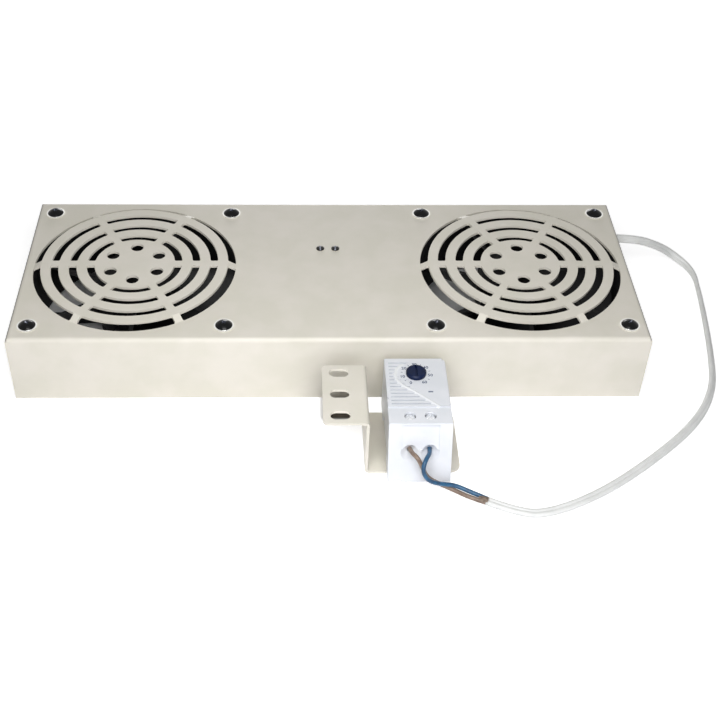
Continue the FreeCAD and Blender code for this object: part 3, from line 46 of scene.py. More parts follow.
scene.view_settings.view_transform = "Standard"
mm = 0.001
up = Vector((0, 0, 1))

# the camera looks down on the tray's front from a little left of its middle
cameraView = {
    "place": (-0.018037, -0.552007, 0.459671),
    "turns": [(-2.09, "Z"), (48.49, "X"), (1.27, "Z")],  # degrees
    "lens": 60.545,
    "shiftX": 0.0417,
}


def addObject(name, data):
    thing = bpy.data.objects.new(name, data)
    scene.collection.objects.link(thing)
    return thing


def placeCamera(view):
    data = bpy.data.cameras.new("studioCamera")
    data.lens, data.sensor_width, data.shift_x = view["lens"], 36.0, view["shiftX"]
    data.clip_start, data.clip_end = 0.01, 50.0
    camera = addObject("studioCamera", data)
    camera.matrix_world = Matrix.Translation(view["place"])
    for angle, axis in view["turns"]:
        camera.matrix_world = camera.matrix_world @ Matrix.Rotation(math.radians(angle), 4, axis)
    scene.camera = camera


placeCamera(cameraView)
print("camera placed")


# shaders

def linear(code):  # sRGB hex to what a shader takes
    parts = [int(code[i:i + 2], 16) / 255 for i in (1, 3, 5)]
    return tuple(c / 12.92 if c <= 0.04045 else ((c + 0.055) / 1.055) ** 2.4 for c in parts) + (1.0,)


def addNode(tree, kind, settings, links=()):
    node = tree.nodes.new("ShaderNode" + kind)
    for name, value in settings.items():
        if name == "stops":
            marks = node.color_ramp.elements
            while len(marks) < len(value):
                marks.new(1.0)
            for mark, (position, colour) in zip(marks, value):
                mark.position, mark.color = position, colour
        elif isinstance(name, int) or name in node.inputs:
            node.inputs[name].default_value = value
        else:
            setattr(node, name, value)
    for name, source in dict(links).items():
        tree.links.new(source, node.inputs[name])
    return node


def newMaterial(name, settings):
    material = bpy.data.materials.new(name)
    material.use_nodes = True
    tree = material.node_tree
    tree.nodes.clear()
    shader = addNode(tree, "BsdfPrincipled", settings)
    addNode(tree, "OutputMaterial", {}, {"Surface": shader.outputs[0]})
    where = addNode(tree, "TexCoord", {}).outputs["Object"]
    return material, tree, shader, where


def perMetre(size):  # a noise scale whose features are about size millimetres
    return 1000 / size


def bandScale(size):  # a wave scale whose bands are size millimetres apart
    return 2 * math.pi / 20 * 1000 / size


# how noise becomes colour and gloss: the shares of it at which each ramp begins and ends
noiseUse = {
    "deepUpTo": 0.36, "paleFrom": 0.64, "glossFrom": 0.3, "glossTo": 0.7,
    "cloudDetail": 3.0, "grainDetail": 2.0,      # octaves of each noise
}


def grained(name, look):
    # soft clouds between two colours, and a fine grain that is felt in the relief and the gloss
    settings = {"Metallic": look.get("metallic", 0.0), **look.get("extra", {})}
    material, tree, shader, where = newMaterial(name, settings)
    clouds = addNode(
        tree, "TexNoise", {"Scale": perMetre(look["clouds"]), "Detail": noiseUse["cloudDetail"]},
        {"Vector": where},
    )
    stops = [(noiseUse["deepUpTo"], linear(look["deep"])), (noiseUse["paleFrom"], linear(look["pale"]))]
    tint = addNode(tree, "ValToRGB", {"stops": stops}, {"Fac": clouds.outputs["Fac"]})
    grain = addNode(
        tree, "TexNoise", {"Scale": perMetre(look["grain"]), "Detail": noiseUse["grainDetail"]},
        {"Vector": where},
    )
    relief = addNode(
        tree, "Bump", {"Strength": 1.0, "Distance": look["relief"] * mm}, {"Height": grain.outputs["Fac"]}
    )
    low, high = look["roughness"]
    gloss = addNode(
        tree, "MapRange",
        {"From Min": noiseUse["glossFrom"], "From Max": noiseUse["glossTo"], "To Min": low, "To Max": high},
        {"Value": grain.outputs["Fac"]},
    )
    tree.links.new(tint.outputs["Color"], shader.inputs["Base Color"])
    tree.links.new(relief.outputs["Normal"], shader.inputs["Normal"])
    tree.links.new(gloss.outputs["Result"], shader.inputs["Roughness"])
    return material


# sizes in millimetres: clouds and grain are feature sizes, relief is the grain's height
finishes = {
    # polyester powder coat, sprayed and baked on sheet steel: a satin cream skin with orange peel
    "powderCoat": {
        "pale": "#E4DFD3", "deep": "#DEDACC", "clouds": 18.0, "grain": 0.9, "relief": 0.012,
        "roughness": (0.38, 0.48),
    },
    # aluminium fan housing, die cast and sprayed black: a dull skin with a sandy grain
    "castHousing": {
        "pale": "#131314", "deep": "#0D0D0E", "clouds": 6.0, "grain": 0.7, "relief": 0.03,
        "roughness": (0.55, 0.66), "extra": {"Specular IOR Level": 0.3},
    },
    # glass-filled nylon impeller, injection moulded: nearly black with a faint grey bloom
    "mouldedImpeller": {
        "pale": "#0F0F10", "deep": "#09090A", "clouds": 9.0, "grain": 0.8, "relief": 0.01,
        "roughness": (0.4, 0.5), "extra": {"Specular IOR Level": 0.25},
    },
    # sintered bronze bush, pressed from powder: warm brown metal with open pores
    "sinteredBronze": {
        "pale": "#A87B4C", "deep": "#8A6239", "clouds": 1.5, "grain": 0.3, "relief": 0.02,
        "roughness": (0.4, 0.55), "metallic": 1.0,
    },
    # zinc plate on turned or pressed steel: grey blue with soft cloudy reflections
    "zincPlate": {
        "pale": "#C9CCCE", "deep": "#B2B6B9", "clouds": 4.0, "grain": 0.6, "relief": 0.004,
        "roughness": (0.24, 0.36), "metallic": 1.0,
    },
    # clear-passivated zinc on the clamping screws, seen down their wells: very pale and satin
    "clearZinc": {
        "pale": "#F0F1F3", "deep": "#DFE1E4", "clouds": 3.0, "grain": 0.5, "relief": 0.004,
        "roughness": (0.3, 0.42), "metallic": 1.0,
    },
    # galvanised top-hat rail, rolled: duller, with larger zinc flowers
    "galvanisedRail": {
        "pale": "#C3C7C9", "deep": "#A9AEB1", "clouds": 7.0, "grain": 0.5, "relief": 0.004,
        "roughness": (0.34, 0.48), "metallic": 1.0,
    },
    # mild steel rotor cup, deep drawn and oiled: dark grey with drawing marks
    "drawnSteel": {
        "pale": "#8D8F92", "deep": "#77797C", "clouds": 5.0, "grain": 0.5, "relief": 0.006,
        "roughness": (0.32, 0.46), "metallic": 1.0,
    },
    # machined brass: yellow metal, slightly matt where the cutter passed
    "machinedBrass": {
        "pale": "#D3B05C", "deep": "#BF9B48", "clouds": 3.0, "grain": 0.4, "relief": 0.004,
        "roughness": (0.24, 0.36), "metallic": 1.0,
    },
    # screw recess, cold struck and worn through to the zinc by the driver: soft grey metal
    "wornRecess": {
        "pale": "#8B8E98", "deep": "#5C5E66", "clouds": 1.5, "grain": 0.3, "relief": 0.006,
        "roughness": (0.35, 0.5), "metallic": 1.0,
    },
    # nickel-plated pins: bright and a little warm
    "nickelPlate": {
        "pale": "#CFCBC1", "deep": "#BEBAAF", "clouds": 3.0, "grain": 0.4, "relief": 0.002,
        "roughness": (0.16, 0.26), "metallic": 1.0,
    },
    # natural polyamide terminal strip, injection moulded: milky ivory and waxy
    "naturalNylon": {
        "pale": "#EAE7DC", "deep": "#E0DCCF", "clouds": 8.0, "grain": 0.8, "relief": 0.004,
        "roughness": (0.36, 0.46),
    },
    # black polyamide inlet, spark-eroded mould: matt black with a fine even grain
    "blackNylon": {
        "pale": "#1C1C1E", "deep": "#151517", "clouds": 7.0, "grain": 0.6, "relief": 0.012,
        "roughness": (0.42, 0.54),
    },
    # white rubber grommet, press moulded: soft, matt and a little translucent
    "whiteRubber": {
        "pale": "#F0EFEA", "deep": "#E8E7E1", "clouds": 4.0, "grain": 0.5, "relief": 0.006,
        "roughness": (0.5, 0.62),
    },
    # light grey thermostat case, injection-moulded ABS from an eroded mould: cool satin spark grain
    "greyAbs": {
        "pale": "#E6E8EC", "deep": "#E0E3E7", "clouds": 12.0, "grain": 0.6, "relief": 0.01,
        "roughness": (0.34, 0.44),
    },
    # raised border round the dial, the same ABS as the case painted paler all over as a highlight, and
    # polished in the mould to a little more gloss
    "paleHighlightAbs": {
        "pale": "#EEF0F1", "deep": "#E9EBED", "clouds": 12.0, "grain": 0.6, "relief": 0.004,
        "roughness": (0.3, 0.38),
    },
    # navy knob, injection-moulded ABS: deeper and glossier than the case
    "navyAbs": {
        "pale": "#0A1B3E", "deep": "#071430", "clouds": 5.0, "grain": 0.5, "relief": 0.004,
        "roughness": (0.34, 0.42), "extra": {"Specular IOR Level": 0.15},
    },
    # white PVC cable sheath, extruded: satin, with a faint cloudiness along it
    "pvcSheath": {
        "pale": "#E9EAE7", "deep": "#E0E1DE", "clouds": 9.0, "grain": 0.8, "relief": 0.008,
        "roughness": (0.36, 0.46),
    },
    # grey-brown wrap at the sheath's cut end, fibrous and matt: painted shade for the dark gap where the
    # cores come out
    "sheathEndShade": {
        "pale": "#8A7A6C", "deep": "#5F5348", "clouds": 1.2, "grain": 0.3, "relief": 0.05,
        "roughness": (0.7, 0.85),
    },
    # coloured PVC core insulation, extruded thin over fine strands: glossier than the sheath
    "bluePvc": {
        "pale": "#1A5A80", "deep": "#0E3E60", "clouds": 3.0, "grain": 0.7, "relief": 0.008,
        "roughness": (0.28, 0.38),
    },
    "brownPvc": {
        "pale": "#8F7A6A", "deep": "#6E5B4D", "clouds": 3.0, "grain": 0.7, "relief": 0.008,
        "roughness": (0.3, 0.4),
    },
    "blackPvc": {
        "pale": "#1B1B1D", "deep": "#131315", "clouds": 4.0, "grain": 0.7, "relief": 0.006,
        "roughness": (0.3, 0.4),
    },
    # rolled bimetal and spring strip: straw-coloured metal with a satin rolled face
    "rolledStrip": {
        "pale": "#C6B28A", "deep": "#B39E76", "clouds": 3.0, "grain": 0.4, "relief": 0.003,
        "roughness": (0.26, 0.38), "metallic": 1.0,
    },
    # screen-printed dial ink: flat blue grey, a little uneven
    "dialInk": {
        "pale": "#3B4A66", "deep": "#4A5874", "clouds": 0.6, "grain": 0.3, "relief": 0.002,
        "roughness": (0.5, 0.6),
    },
}
materials = {name: grained(name, look) for name, look in finishes.items()}


def shadeWhere(name, share, code, strength):
    # darkens or tints a finish by a share that its place on the part gives
    tree = materials[name].node_tree
    shader = next(node for node in tree.nodes if node.bl_idname == "ShaderNodeBsdfPrincipled")
    before = shader.inputs["Base Color"].links[0].from_socket
    amount = addNode(tree, "Math", {"operation": "MULTIPLY", 1: strength}, {0: share})
    mixed = addNode(
        tree, "Mix", {"data_type": "RGBA", "blend_type": "MIX", 7: linear(code)},
        {0: amount.outputs[0], 6: before},
    )
    tree.links.new(mixed.outputs[2], shader.inputs["Base Color"])


def paintedShadeAtBends(name, edge):
    # painted shade: a grey line is painted along the outer bends at the back and both ends, where those
    # bends turn away from the light
    tree = materials[name].node_tree
    where = addNode(tree, "TexCoord", {}).outputs["Object"]
    parts = addNode(tree, "SeparateXYZ", {}, {"Vector": where})
    sides = addNode(tree, "Math", {"operation": "ABSOLUTE"}, {0: parts.outputs["X"]})
    nearSide = addNode(
        tree, "MapRange",
        {"From Min": (edge["halfWidth"] - edge["reach"]) * mm, "From Max": edge["halfWidth"] * mm},
        {"Value": sides.outputs[0]},
    )
    nearBack = addNode(
        tree, "MapRange",
        {"From Min": (edge["back"] - edge["reach"]) * mm, "From Max": edge["back"] * mm},
        {"Value": parts.outputs["Y"]},
    )
    nearTop = addNode(
        tree, "MapRange",
        {"From Min": (edge["top"] - edge["drop"]) * mm, "From Max": edge["top"] * mm},
        {"Value": parts.outputs["Z"]},
    )
    near = addNode(
        tree, "Math", {"operation": "MAXIMUM"},
        {0: nearSide.outputs["Result"], 1: nearBack.outputs["Result"]},
    )
    both = addNode(
        tree, "Math", {"operation": "MULTIPLY"}, {0: near.outputs[0], 1: nearTop.outputs["Result"]}
    )
    shadeWhere(name, both.outputs[0], edge["steel"], edge["strength"])


# painted shade: a grey line along the tray's outer bends at the back and both ends
paintedShadeAtBends("powderCoat", {
    "halfWidth": 172.0, "back": 63.5, "top": 41.2, "reach": 1.2, "drop": 1.4,     # mm
    "steel": "#5A574F", "strength": 1.0,
})


def paintedGrooveShade(name, groove):
    # painted shade: the grooves' floors between the case's ribs are darkened, as shade that falls between
    # the ribs
    tree = materials[name].node_tree
    where = addNode(tree, "TexCoord", {}).outputs["Object"]
    level = addNode(tree, "SeparateXYZ", {}, {"Vector": where}).outputs["Z"]
    above = addNode(
        tree, "MapRange",
        {"From Min": groove["floor"] * mm, "From Max": (groove["floor"] + groove["lift"]) * mm},
        {"Value": level},
    )
    below = addNode(
        tree, "MapRange",
        {"From Min": groove["fadeFrom"] * mm, "From Max": groove["rim"] * mm, "To Min": 1.0, "To Max": 0.0},
        {"Value": level},
    )
    both = addNode(
        tree, "Math", {"operation": "MULTIPLY"}, {0: above.outputs["Result"], 1: below.outputs["Result"]}
    )
    shadeWhere(name, both.outputs[0], groove["grooveShade"], groove["strength"])


# painted shade on the floors of the case's grooves, fading out up the rib walls
paintedGrooveShade("greyAbs", {
    "floor": 33.33, "lift": 0.03, "fadeFrom": 33.55, "rim": 33.9, "grooveShade": "#A6ACB4", "strength": 0.55,    # mm
})


def bandedMetal(name, look):
    # bands of metal with dark gaps between them, square to an axis or round the fan's own axis
    material, tree, shader, where = newMaterial(name, {"Metallic": 1.0, "Roughness": look["roughness"]})
    bands = addNode(
        tree, "TexWave",
        {"wave_type": look["form"], "bands_direction": "Z", "rings_direction": "Z",
         "Scale": bandScale(look["pitch"])},
        {"Vector": where},
    )
    stops = [(0.1, linear(look["gap"])), (0.45, linear(look["metal"]))]
    tint = addNode(tree, "ValToRGB", {"stops": stops}, {"Fac": bands.outputs["Fac"]})
    relief = addNode(
        tree, "Bump", {"Strength": 1.0, "Distance": look["relief"] * mm}, {"Height": bands.outputs["Fac"]}
    )
    tree.links.new(tint.outputs["Color"], shader.inputs["Base Color"])
    tree.links.new(relief.outputs["Normal"], shader.inputs["Normal"])
    return material


# silicon steel laminations, punched and stacked: edge lines 0.5 mm apart
materials["stackedLaminations"] = bandedMetal("stackedLaminations", {
    "form": "BANDS", "pitch": 0.5, "metal": "#8B8D90", "gap": "#3B3C3E", "roughness": 0.4, "relief": 0.05,
})
# enamelled copper wire, wound: glossy orange turns, drawn 0.5 mm apart so that they show
materials["woundCopper"] = bandedMetal("woundCopper", {
    "form": "BANDS", "pitch": 0.5, "metal": "#B5643A", "gap": "#4A2413", "roughness": 0.25, "relief": 0.1,
})


def blackedScrew(name, look):
    # glossy black above a level, bright metal at and below it
    settings = {"IOR": 1.5, "Specular IOR Level": look["gloss"]}
    material, tree, shader, where = newMaterial(name, settings)
    level = addNode(tree, "SeparateXYZ", {}, {"Vector": where}).outputs["Z"]
    share = addNode(
        tree, "MapRange", {"From Min": look["bright"] * mm, "From Max": look["dark"] * mm}, {"Value": level}
    ).outputs["Result"]
    stops = [(0.0, linear(look["rim"])), (1.0, linear(look["head"]))]
    tint = addNode(tree, "ValToRGB", {"stops": stops}, {"Fac": share})
    metal = addNode(tree, "MapRange", {"To Min": 1.0, "To Max": 0.0}, {"Value": share})
    soft = addNode(
        tree, "MapRange", {"To Min": look["rimRoughness"], "To Max": look["headRoughness"]}, {"Value": share}
    )
    grain = addNode(tree, "TexNoise", {"Scale": perMetre(look["grain"])}, {"Vector": where})
    relief = addNode(
        tree, "Bump", {"Strength": 1.0, "Distance": look["relief"] * mm}, {"Height": grain.outputs["Fac"]}
    )
    tree.links.new(tint.outputs["Color"], shader.inputs["Base Color"])
    tree.links.new(metal.outputs["Result"], shader.inputs["Metallic"])
    tree.links.new(soft.outputs["Result"], shader.inputs["Roughness"])
    tree.links.new(relief.outputs["Normal"], shader.inputs["Normal"])
    return material


# black lacquer over zinc on a domed fan screw: a glossy black dome in a bright plain rim
materials["blackedFanScrew"] = blackedScrew("blackedFanScrew", {
    "head": "#040506", "rim": "#E6E5E0", "bright": 42.5, "dark": 42.62, "gloss": 0.15,
    "headRoughness": 0.13, "rimRoughness": 0.28, "grain": 0.8, "relief": 0.003,
})
# the same lacquer on the small strip screws
materials["blackedStripScrew"] = blackedScrew("blackedStripScrew", {
    "head": "#14130F", "rim": "#D8D5CB", "bright": 42.1, "dark": 42.2, "gloss": 0.3,
    "headRoughness": 0.2, "rimRoughness": 0.3, "grain": 0.6, "relief": 0.003,
})


def stripedLead(name, look):
    # earth insulation, co-extruded in two colours: a yellow stripe along the top of a green core
    material, tree, shader, where = newMaterial(name, {"Roughness": look["roughness"]})
    facing = addNode(tree, "TexCoord", {}).outputs["Normal"]
    height = addNode(tree, "SeparateXYZ", {}, {"Vector": facing}).outputs["Z"]
    share = addNode(
        tree, "MapRange", {"From Min": look["edge"], "From Max": look["edge"] + look["blur"]},
        {"Value": height},
    )
    stops = [(0.0, linear(look["body"])), (1.0, linear(look["stripe"]))]
    tint = addNode(tree, "ValToRGB", {"stops": stops}, {"Fac": share.outputs["Result"]})
    grain = addNode(tree, "TexNoise", {"Scale": perMetre(look["grain"])}, {"Vector": where})
    relief = addNode(
        tree, "Bump", {"Strength": 1.0, "Distance": look["relief"] * mm}, {"Height": grain.outputs["Fac"]}
    )
    tree.links.new(tint.outputs["Color"], shader.inputs["Base Color"])
    tree.links.new(relief.outputs["Normal"], shader.inputs["Normal"])
    return material


materials["earthPvc"] = stripedLead("earthPvc", {
    "body": "#2E7D3A", "stripe": "#E2C51F", "edge": 0.35, "blur": 0.08,
    "roughness": 0.34, "grain": 0.7, "relief": 0.006,
})
print("materials made", len(materials))

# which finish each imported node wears
wears = {
    "powderCoat": ["tray_shell", "thermostat_bracket"],
    "castHousing": ["fan_frame_left", "fan_frame_right", "fan_hub_left", "fan_hub_right"],
    "mouldedImpeller": ["impeller_left", "impeller_right"],
    "sinteredBronze": ["fan_bushes_left", "fan_bushes_right"],
    "stackedLaminations": ["fan_stator_left", "fan_stator_right"],
    "woundCopper": ["fan_winding_left", "fan_winding_right"],
    "drawnSteel": ["fan_rotor_left", "fan_rotor_right"],
    "blackedFanScrew": ["fan_screws"],
    "naturalNylon": ["terminal_block"],
    "machinedBrass": ["terminal_inserts", "terminal_clamps"],
    "zincPlate": [
        "terminal_grub_screws", "block_nuts", "inlet_screws", "inlet_nuts", "earth_stud", "earth_nut",
        "earth_lug", "rail_rivets", "knob_spindle",
    ],
    "galvanisedRail": ["din_rail"],
    "blackNylon": ["inlet_body"],
    "nickelPlate": ["inlet_pins"],
    "whiteRubber": ["cable_grommet"],
    "greyAbs": ["thermostat_base", "thermostat_cover"],
    "navyAbs": ["thermostat_knob"],
    "rolledStrip": ["bimetal_strip", "contact_spring"],
    "brownPvc": ["lead_live", "inner_core_brown"],
    "bluePvc": ["lead_neutral", "inner_core_blue"],
    "earthPvc": ["lead_earth"],
    "blackPvc": ["fan_lead_left", "fan_lead_right"],
}
for finish, names in wears.items():
    for name in names:
        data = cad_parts[name].data
        data.materials.clear()
        data.materials.append(materials[finish])


# cords: each route is a smooth line through the air and along the floor

curveSteps = {"along": 14, "round": 6}      # divisions between two points, and of a quarter turn


def routeCurve(name, points, bevel=0.0):
    data = bpy.data.curves.new(name, "CURVE")
    data.dimensions = "3D"
    data.resolution_u = curveSteps["along"]
    data.bevel_depth, data.bevel_resolution, data.use_fill_caps = bevel, curveSteps["round"], bevel > 0
    spline = data.splines.new("NURBS")
    spline.points.add(len(points) - 1)
    for point, place in zip(spline.points, points):
        point.co = (*place, 1.0)
    spline.order_u, spline.use_endpoint_u = 3, True
    return addObject(name, data)


def readLine(curve):
    bpy.context.view_layer.update()
    line = bpy.data.meshes.new_from_object(curve.evaluated_get(bpy.context.evaluated_depsgraph_get()))
    points = [vertex.co.copy() for vertex in line.vertices]
    bpy.data.meshes.remove(line)
    return points


def finishMesh(name, shape, material, body="tray", smooth=True):
    bmesh.ops.recalc_face_normals(shape, faces=shape.faces)
    data = bpy.data.meshes.new(name)
    shape.to_mesh(data)
    shape.free()
    data.materials.append(materials[material])
    for face in data.polygons:
        face.use_smooth = smooth
    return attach(addObject(name, data), body)


# the sheath is a flat twin: two cores side by side, with a shallow groove down each wide face
sheath = {
    "lobeOffset": 1.1,      # mm from the middle to each core's own middle
    "lobeRadius": 1.42,
    "groove": 0.3, "grooveWidth": 0.45,
    "lobeSteps": 12, "grooveSteps": 10,      # divisions of a lobe's half turn, and across the groove
    "endShare": 0.93,       # the section is a little smaller at both ends
    "floorGap": 0.1,
    "routeLevel": 2.3,      # where the route lies when it is on the floor
    "rise": 8.0,            # the height over which the sheath leaves the floor
    "twist": [(0.0, 118), (0.1, 116), (0.28, 62), (0.5, 50), (0.68, 14), (1.0, 4)],  # share, degrees
    "length": 0.356, "width": 0.005,
    "exit": (0.174, 0.045, 0.0295),
    "route": [
        (0.168, 0.045, 0.0295), (0.187, 0.045, 0.0295), (0.204, 0.0495, 0.021),
        (0.2175, 0.058, 0.0085), (0.23, 0.0475, 0.0023), (0.2286, 0.027, 0.0023),
        (0.2249, -0.004, 0.0023), (0.2206, -0.033, 0.0023), (0.215, -0.06, 0.0023),
        (0.2, -0.086, 0.0023), (0.171, -0.113, 0.0023), (0.138, -0.1378, 0.0023),
        (0.107, -0.152, 0.0023), (0.091, -0.1495, 0.0023), (0.0779, -0.1425, 0.0023),
    ],
}


def blendAlong(stops, share):
    for (first, low), (last, high) in zip(stops, stops[1:]):
        if share <= last:
            part = (share - first) / (last - first)
            return low + (high - low) * part * part * (3 - 2 * part)
    return stops[-1][1]


def twinOutline(look):
    # the section's points, counter-clockwise: x runs across the wide side, in millimetres
    offset, radius, points = look["lobeOffset"], look["lobeRadius"], []
    for side in (1, -1):
        for step in range(look["lobeSteps"] + 1):
            angle = math.radians(-90 + 180 / look["lobeSteps"] * step)
            points.append((side * (offset + radius * math.cos(angle)), side * radius * math.sin(angle)))
        for step in range(1, look["grooveSteps"]):
            across = offset * (1 - 2 * step / look["grooveSteps"])
            dip = look["groove"] * math.exp(-((across / look["grooveWidth"]) ** 2))
            points.append((side * across, side * (radius - dip)))
    return points


def sweepTwin(look, line):
    travelled = [0.0]
    for before, after in zip(line, line[1:]):
        travelled.append(travelled[-1] + (after - before).length)
    outline, shape = twinOutline(look), bmesh.new()
    rings, centres = [], []
    for index, place in enumerate(line):
        ahead = (line[min(index + 1, len(line) - 1)] - line[max(index - 1, 0)]).normalized()
        level = ahead.cross(up).normalized()
        rise = level.cross(ahead).normalized()
        turn = math.radians(blendAlong(look["twist"], travelled[index] / travelled[-1]))
        wide = level * math.cos(turn) + rise * math.sin(turn)
        thin = rise * math.cos(turn) - level * math.sin(turn)
        stand = look["floorGap"] + look["lobeRadius"] + look["lobeOffset"] * abs(math.sin(turn))
        down = max(0.0, 1 - (place.z / mm - look["routeLevel"]) / look["rise"])
        centre = place + up * (stand - look["routeLevel"]) * down * mm
        atEnd = index in (0, len(line) - 1)
        size = mm * (look["endShare"] if atEnd else 1.0)
        rings.append([shape.verts.new(centre + (wide * x + thin * y) * size) for x, y in outline])
        centres.append(centre)
    for ring, following in zip(rings, rings[1:]):
        for index in range(len(outline)):
            after = (index + 1) % len(outline)
            shape.faces.new((ring[index], ring[after], following[after], following[index]))
    shape.faces.new(rings[0])
    shape.faces.new(rings[-1])
    return finishMesh("thermostatCable", shape, "pvcSheath"), centres


guide = routeCurve("sheathGuide", sheath["route"])
cable, centres = sweepTwin(sheath, readLine(guide))
bpy.data.objects.remove(guide)

# a dark grey-brown wrap where the sheath is cut back from the two cores is painted shade for the gap there
mouthShade = {
    "radius": 2.1, "shares": (0.55, 1.0, 0.8),      # mm, and each point's share of it
    "route": [(0.0738, -0.1411, 0.0022), (0.0758, -0.142, 0.0022), (0.0785, -0.143, 0.0022)],
}
mouth = routeCurve("sheathMouth", mouthShade["route"], mouthShade["radius"] * mm)
for point, share in zip(mouth.data.splines[0].points, mouthShade["shares"]):
    point.radius = share
mouth.data.materials.append(materials["sheathEndShade"])
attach(mouth, "tray")
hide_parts("thermostat_cable")

# the two cores leave the sheath's end on the floor and rise into the case's wire funnels
cores = {
    "coreBlue": {
        "node": "core_blue", "finish": "bluePvc", "slot": "blue_insulation", "length": 0.06,
        "route": [
            (0.0496, -0.116535, 0.0154), (0.0496, -0.1255, 0.0198), (0.0464, -0.1326, 0.0214),
            (0.0447, -0.1362, 0.0172), (0.0477, -0.137, 0.0108), (0.0545, -0.1353, 0.0064),
            (0.062, -0.134, 0.0044), (0.07, -0.1375, 0.0029), (0.07835, -0.14138, 0.0019),
        ],
    },
    "coreBrown": {
        "node": "core_brown", "finish": "brownPvc", "slot": "brown_insulation", "length": 0.06,
        "route": [
            (0.0392, -0.116535, 0.0154), (0.0392, -0.126, 0.0205), (0.0426, -0.1315, 0.0215),
            (0.0454, -0.1323, 0.0145), (0.0482, -0.1324, 0.008), (0.054, -0.132, 0.0034),
            (0.061, -0.1345, 0.0017), (0.0697, -0.1403, 0.0016), (0.07728, -0.14354, 0.0015),
        ],
    },
}
coreRadius = 1.15 * mm
for name, core in cores.items():
    wire = routeCurve(name, core["route"], coreRadius)
    wire.data.materials.append(materials[core["finish"]])
    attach(wire, "tray")
    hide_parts(core["node"])
print("cords laid")

# small screws with their heads, and the recesses in all the heads
recesses = {
    "reach": 1.6, "width": 0.8, "depth": 1.1, "taper": 0.45,       # mm, fan screws
    "turns": [38, 52, 44, 34, 55, 47, 40, 50],                      # degrees, one for each screw
}
stripScrew = {
    "places": [(-4.35, 17.0), (4.35, 17.0)], "seat": 42.0, "foot": 22.0,        # mm
    "head": 2.35, "crown": 1.25, "shank": 1.25,
    "slotReach": 3.0, "slotWidth": 0.85, "slotDepth": 0.7, "slotTaper": 0.9, "turns": [92, 86],
}
wellScrew = {
    "places": [(39.2, -113.3), (49.6, -113.3)], "seat": 31.7, "foot": 17.0,
    "head": 2.6, "crown": 0.9, "shank": 1.45,
    "slotReach": 2.0, "slotWidth": 0.6, "slotDepth": 0.6, "slotTaper": 0.9, "turns": [45, 135],
}


def screwTops(node, nearTop=0.02 * mm, apart=3 * mm):
    # the top of each separate head in a node, found from its own highest points
    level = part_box(node)[1].z - nearTop
    tops = []
    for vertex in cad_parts[node].data.vertices:
        if vertex.co.z > level and all((vertex.co - top).length > apart for top in tops):
            tops.append(vertex.co.copy())
    return sorted(tops, key=lambda top: (round(top.x, 3), round(top.y, 3)))


turning = {
    "around": 40,
    "crownShares": (0.25, 0.5, 0.7, 0.84, 0.94, 1.0),      # shares of the head's radius
    "rim": 0.35, "fullness": 2.6,                          # the rim's share of the crown, and its roundness
    "edge": 0.05, "chamferHeight": 0.5, "chamferDepth": 0.4,    # mm
}


def turnedScrews(name, look, finish):
    # each screw is a turned profile: crown, head, shank and a chamfered foot
    around, edge, rim = turning["around"], turning["edge"], turning["rim"]
    profile = [
        (
            share * look["head"],
            look["seat"] + look["crown"] * (rim + (1 - rim) * (1 - share ** turning["fullness"])),
        )
        for share in turning["crownShares"]
    ]
    profile += [
        (look["head"], look["seat"] + edge), (look["head"] - edge, look["seat"]),
        (look["shank"], look["seat"]), (look["shank"], look["foot"] + turning["chamferHeight"]),
        (look["shank"] - turning["chamferDepth"], look["foot"]),
    ]
    shape = bmesh.new()
    for x, y in look["places"]:
        rings = [
            [
                shape.verts.new(Vector((
                    x + radius * math.cos(2 * math.pi * step / around),
                    y + radius * math.sin(2 * math.pi * step / around), level,
                )) * mm)
                for step in range(around)
            ]
            for radius, level in profile
        ]
        for ring, following in zip(rings, rings[1:]):
            for step in range(around):
                after = (step + 1) % around
                shape.faces.new((ring[step], following[step], following[after], ring[after]))
        shape.faces.new(rings[0])
        shape.faces.new(rings[-1][::-1])
    return finishMesh(name, shape, finish)


def taperedBar(shape, top, turn, reach, width, depth, taper, clear=0.6, narrowing=0.4):
    # a bar across a head, narrower at its foot, standing clear above the head by a share of its depth
    corners = []
    for level, share in ((-depth, taper), (depth * clear, 1 + (1 - taper) * clear)):
        for x, y in ((-1, -1), (1, -1), (1, 1), (-1, 1)):
            across = Vector((x * reach * share, y * width / 2 * (1 - narrowing + narrowing * share), 0))
            across.rotate(Matrix.Rotation(math.radians(turn), 3, "Z"))
            corners.append(shape.verts.new(top + (across + Vector((0, 0, level))) * mm))
    for a, b, c, d in ((3, 2, 1, 0), (4, 5, 6, 7), (0, 1, 5, 4), (1, 2, 6, 5), (2, 3, 7, 6), (3, 0, 4, 7)):
        shape.faces.new((corners[a], corners[b], corners[c], corners[d]))


def cutHeads(name, screws, bars, finish):
    # a hidden tool cuts the recesses, and its own finish is left on the cut faces
    shape = bmesh.new()
    for bar in bars:
        taperedBar(shape, *bar)
    data = bpy.data.meshes.new(name)
    shape.to_mesh(data)
    shape.free()
    data.materials.append(materials[finish])
    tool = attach(addObject(name, data), "tray")
    tool.hide_render = tool.hide_viewport = True
    cutter = screws.modifiers.new("recess", "BOOLEAN")
    cutter.operation, cutter.solver, cutter.object = "DIFFERENCE", "EXACT", tool
    cutter.use_self, cutter.material_mode = True, "TRANSFER"


def screwBars(look, quarters):
    crown = look["seat"] + look["crown"]
    return [
        (
            Vector((x, y, crown)) * mm, turn + quarter, look["slotReach"], look["slotWidth"],
            look["slotDepth"], look["slotTaper"],
        )
        for (x, y), turn in zip(look["places"], look["turns"]) for quarter in quarters
    ]


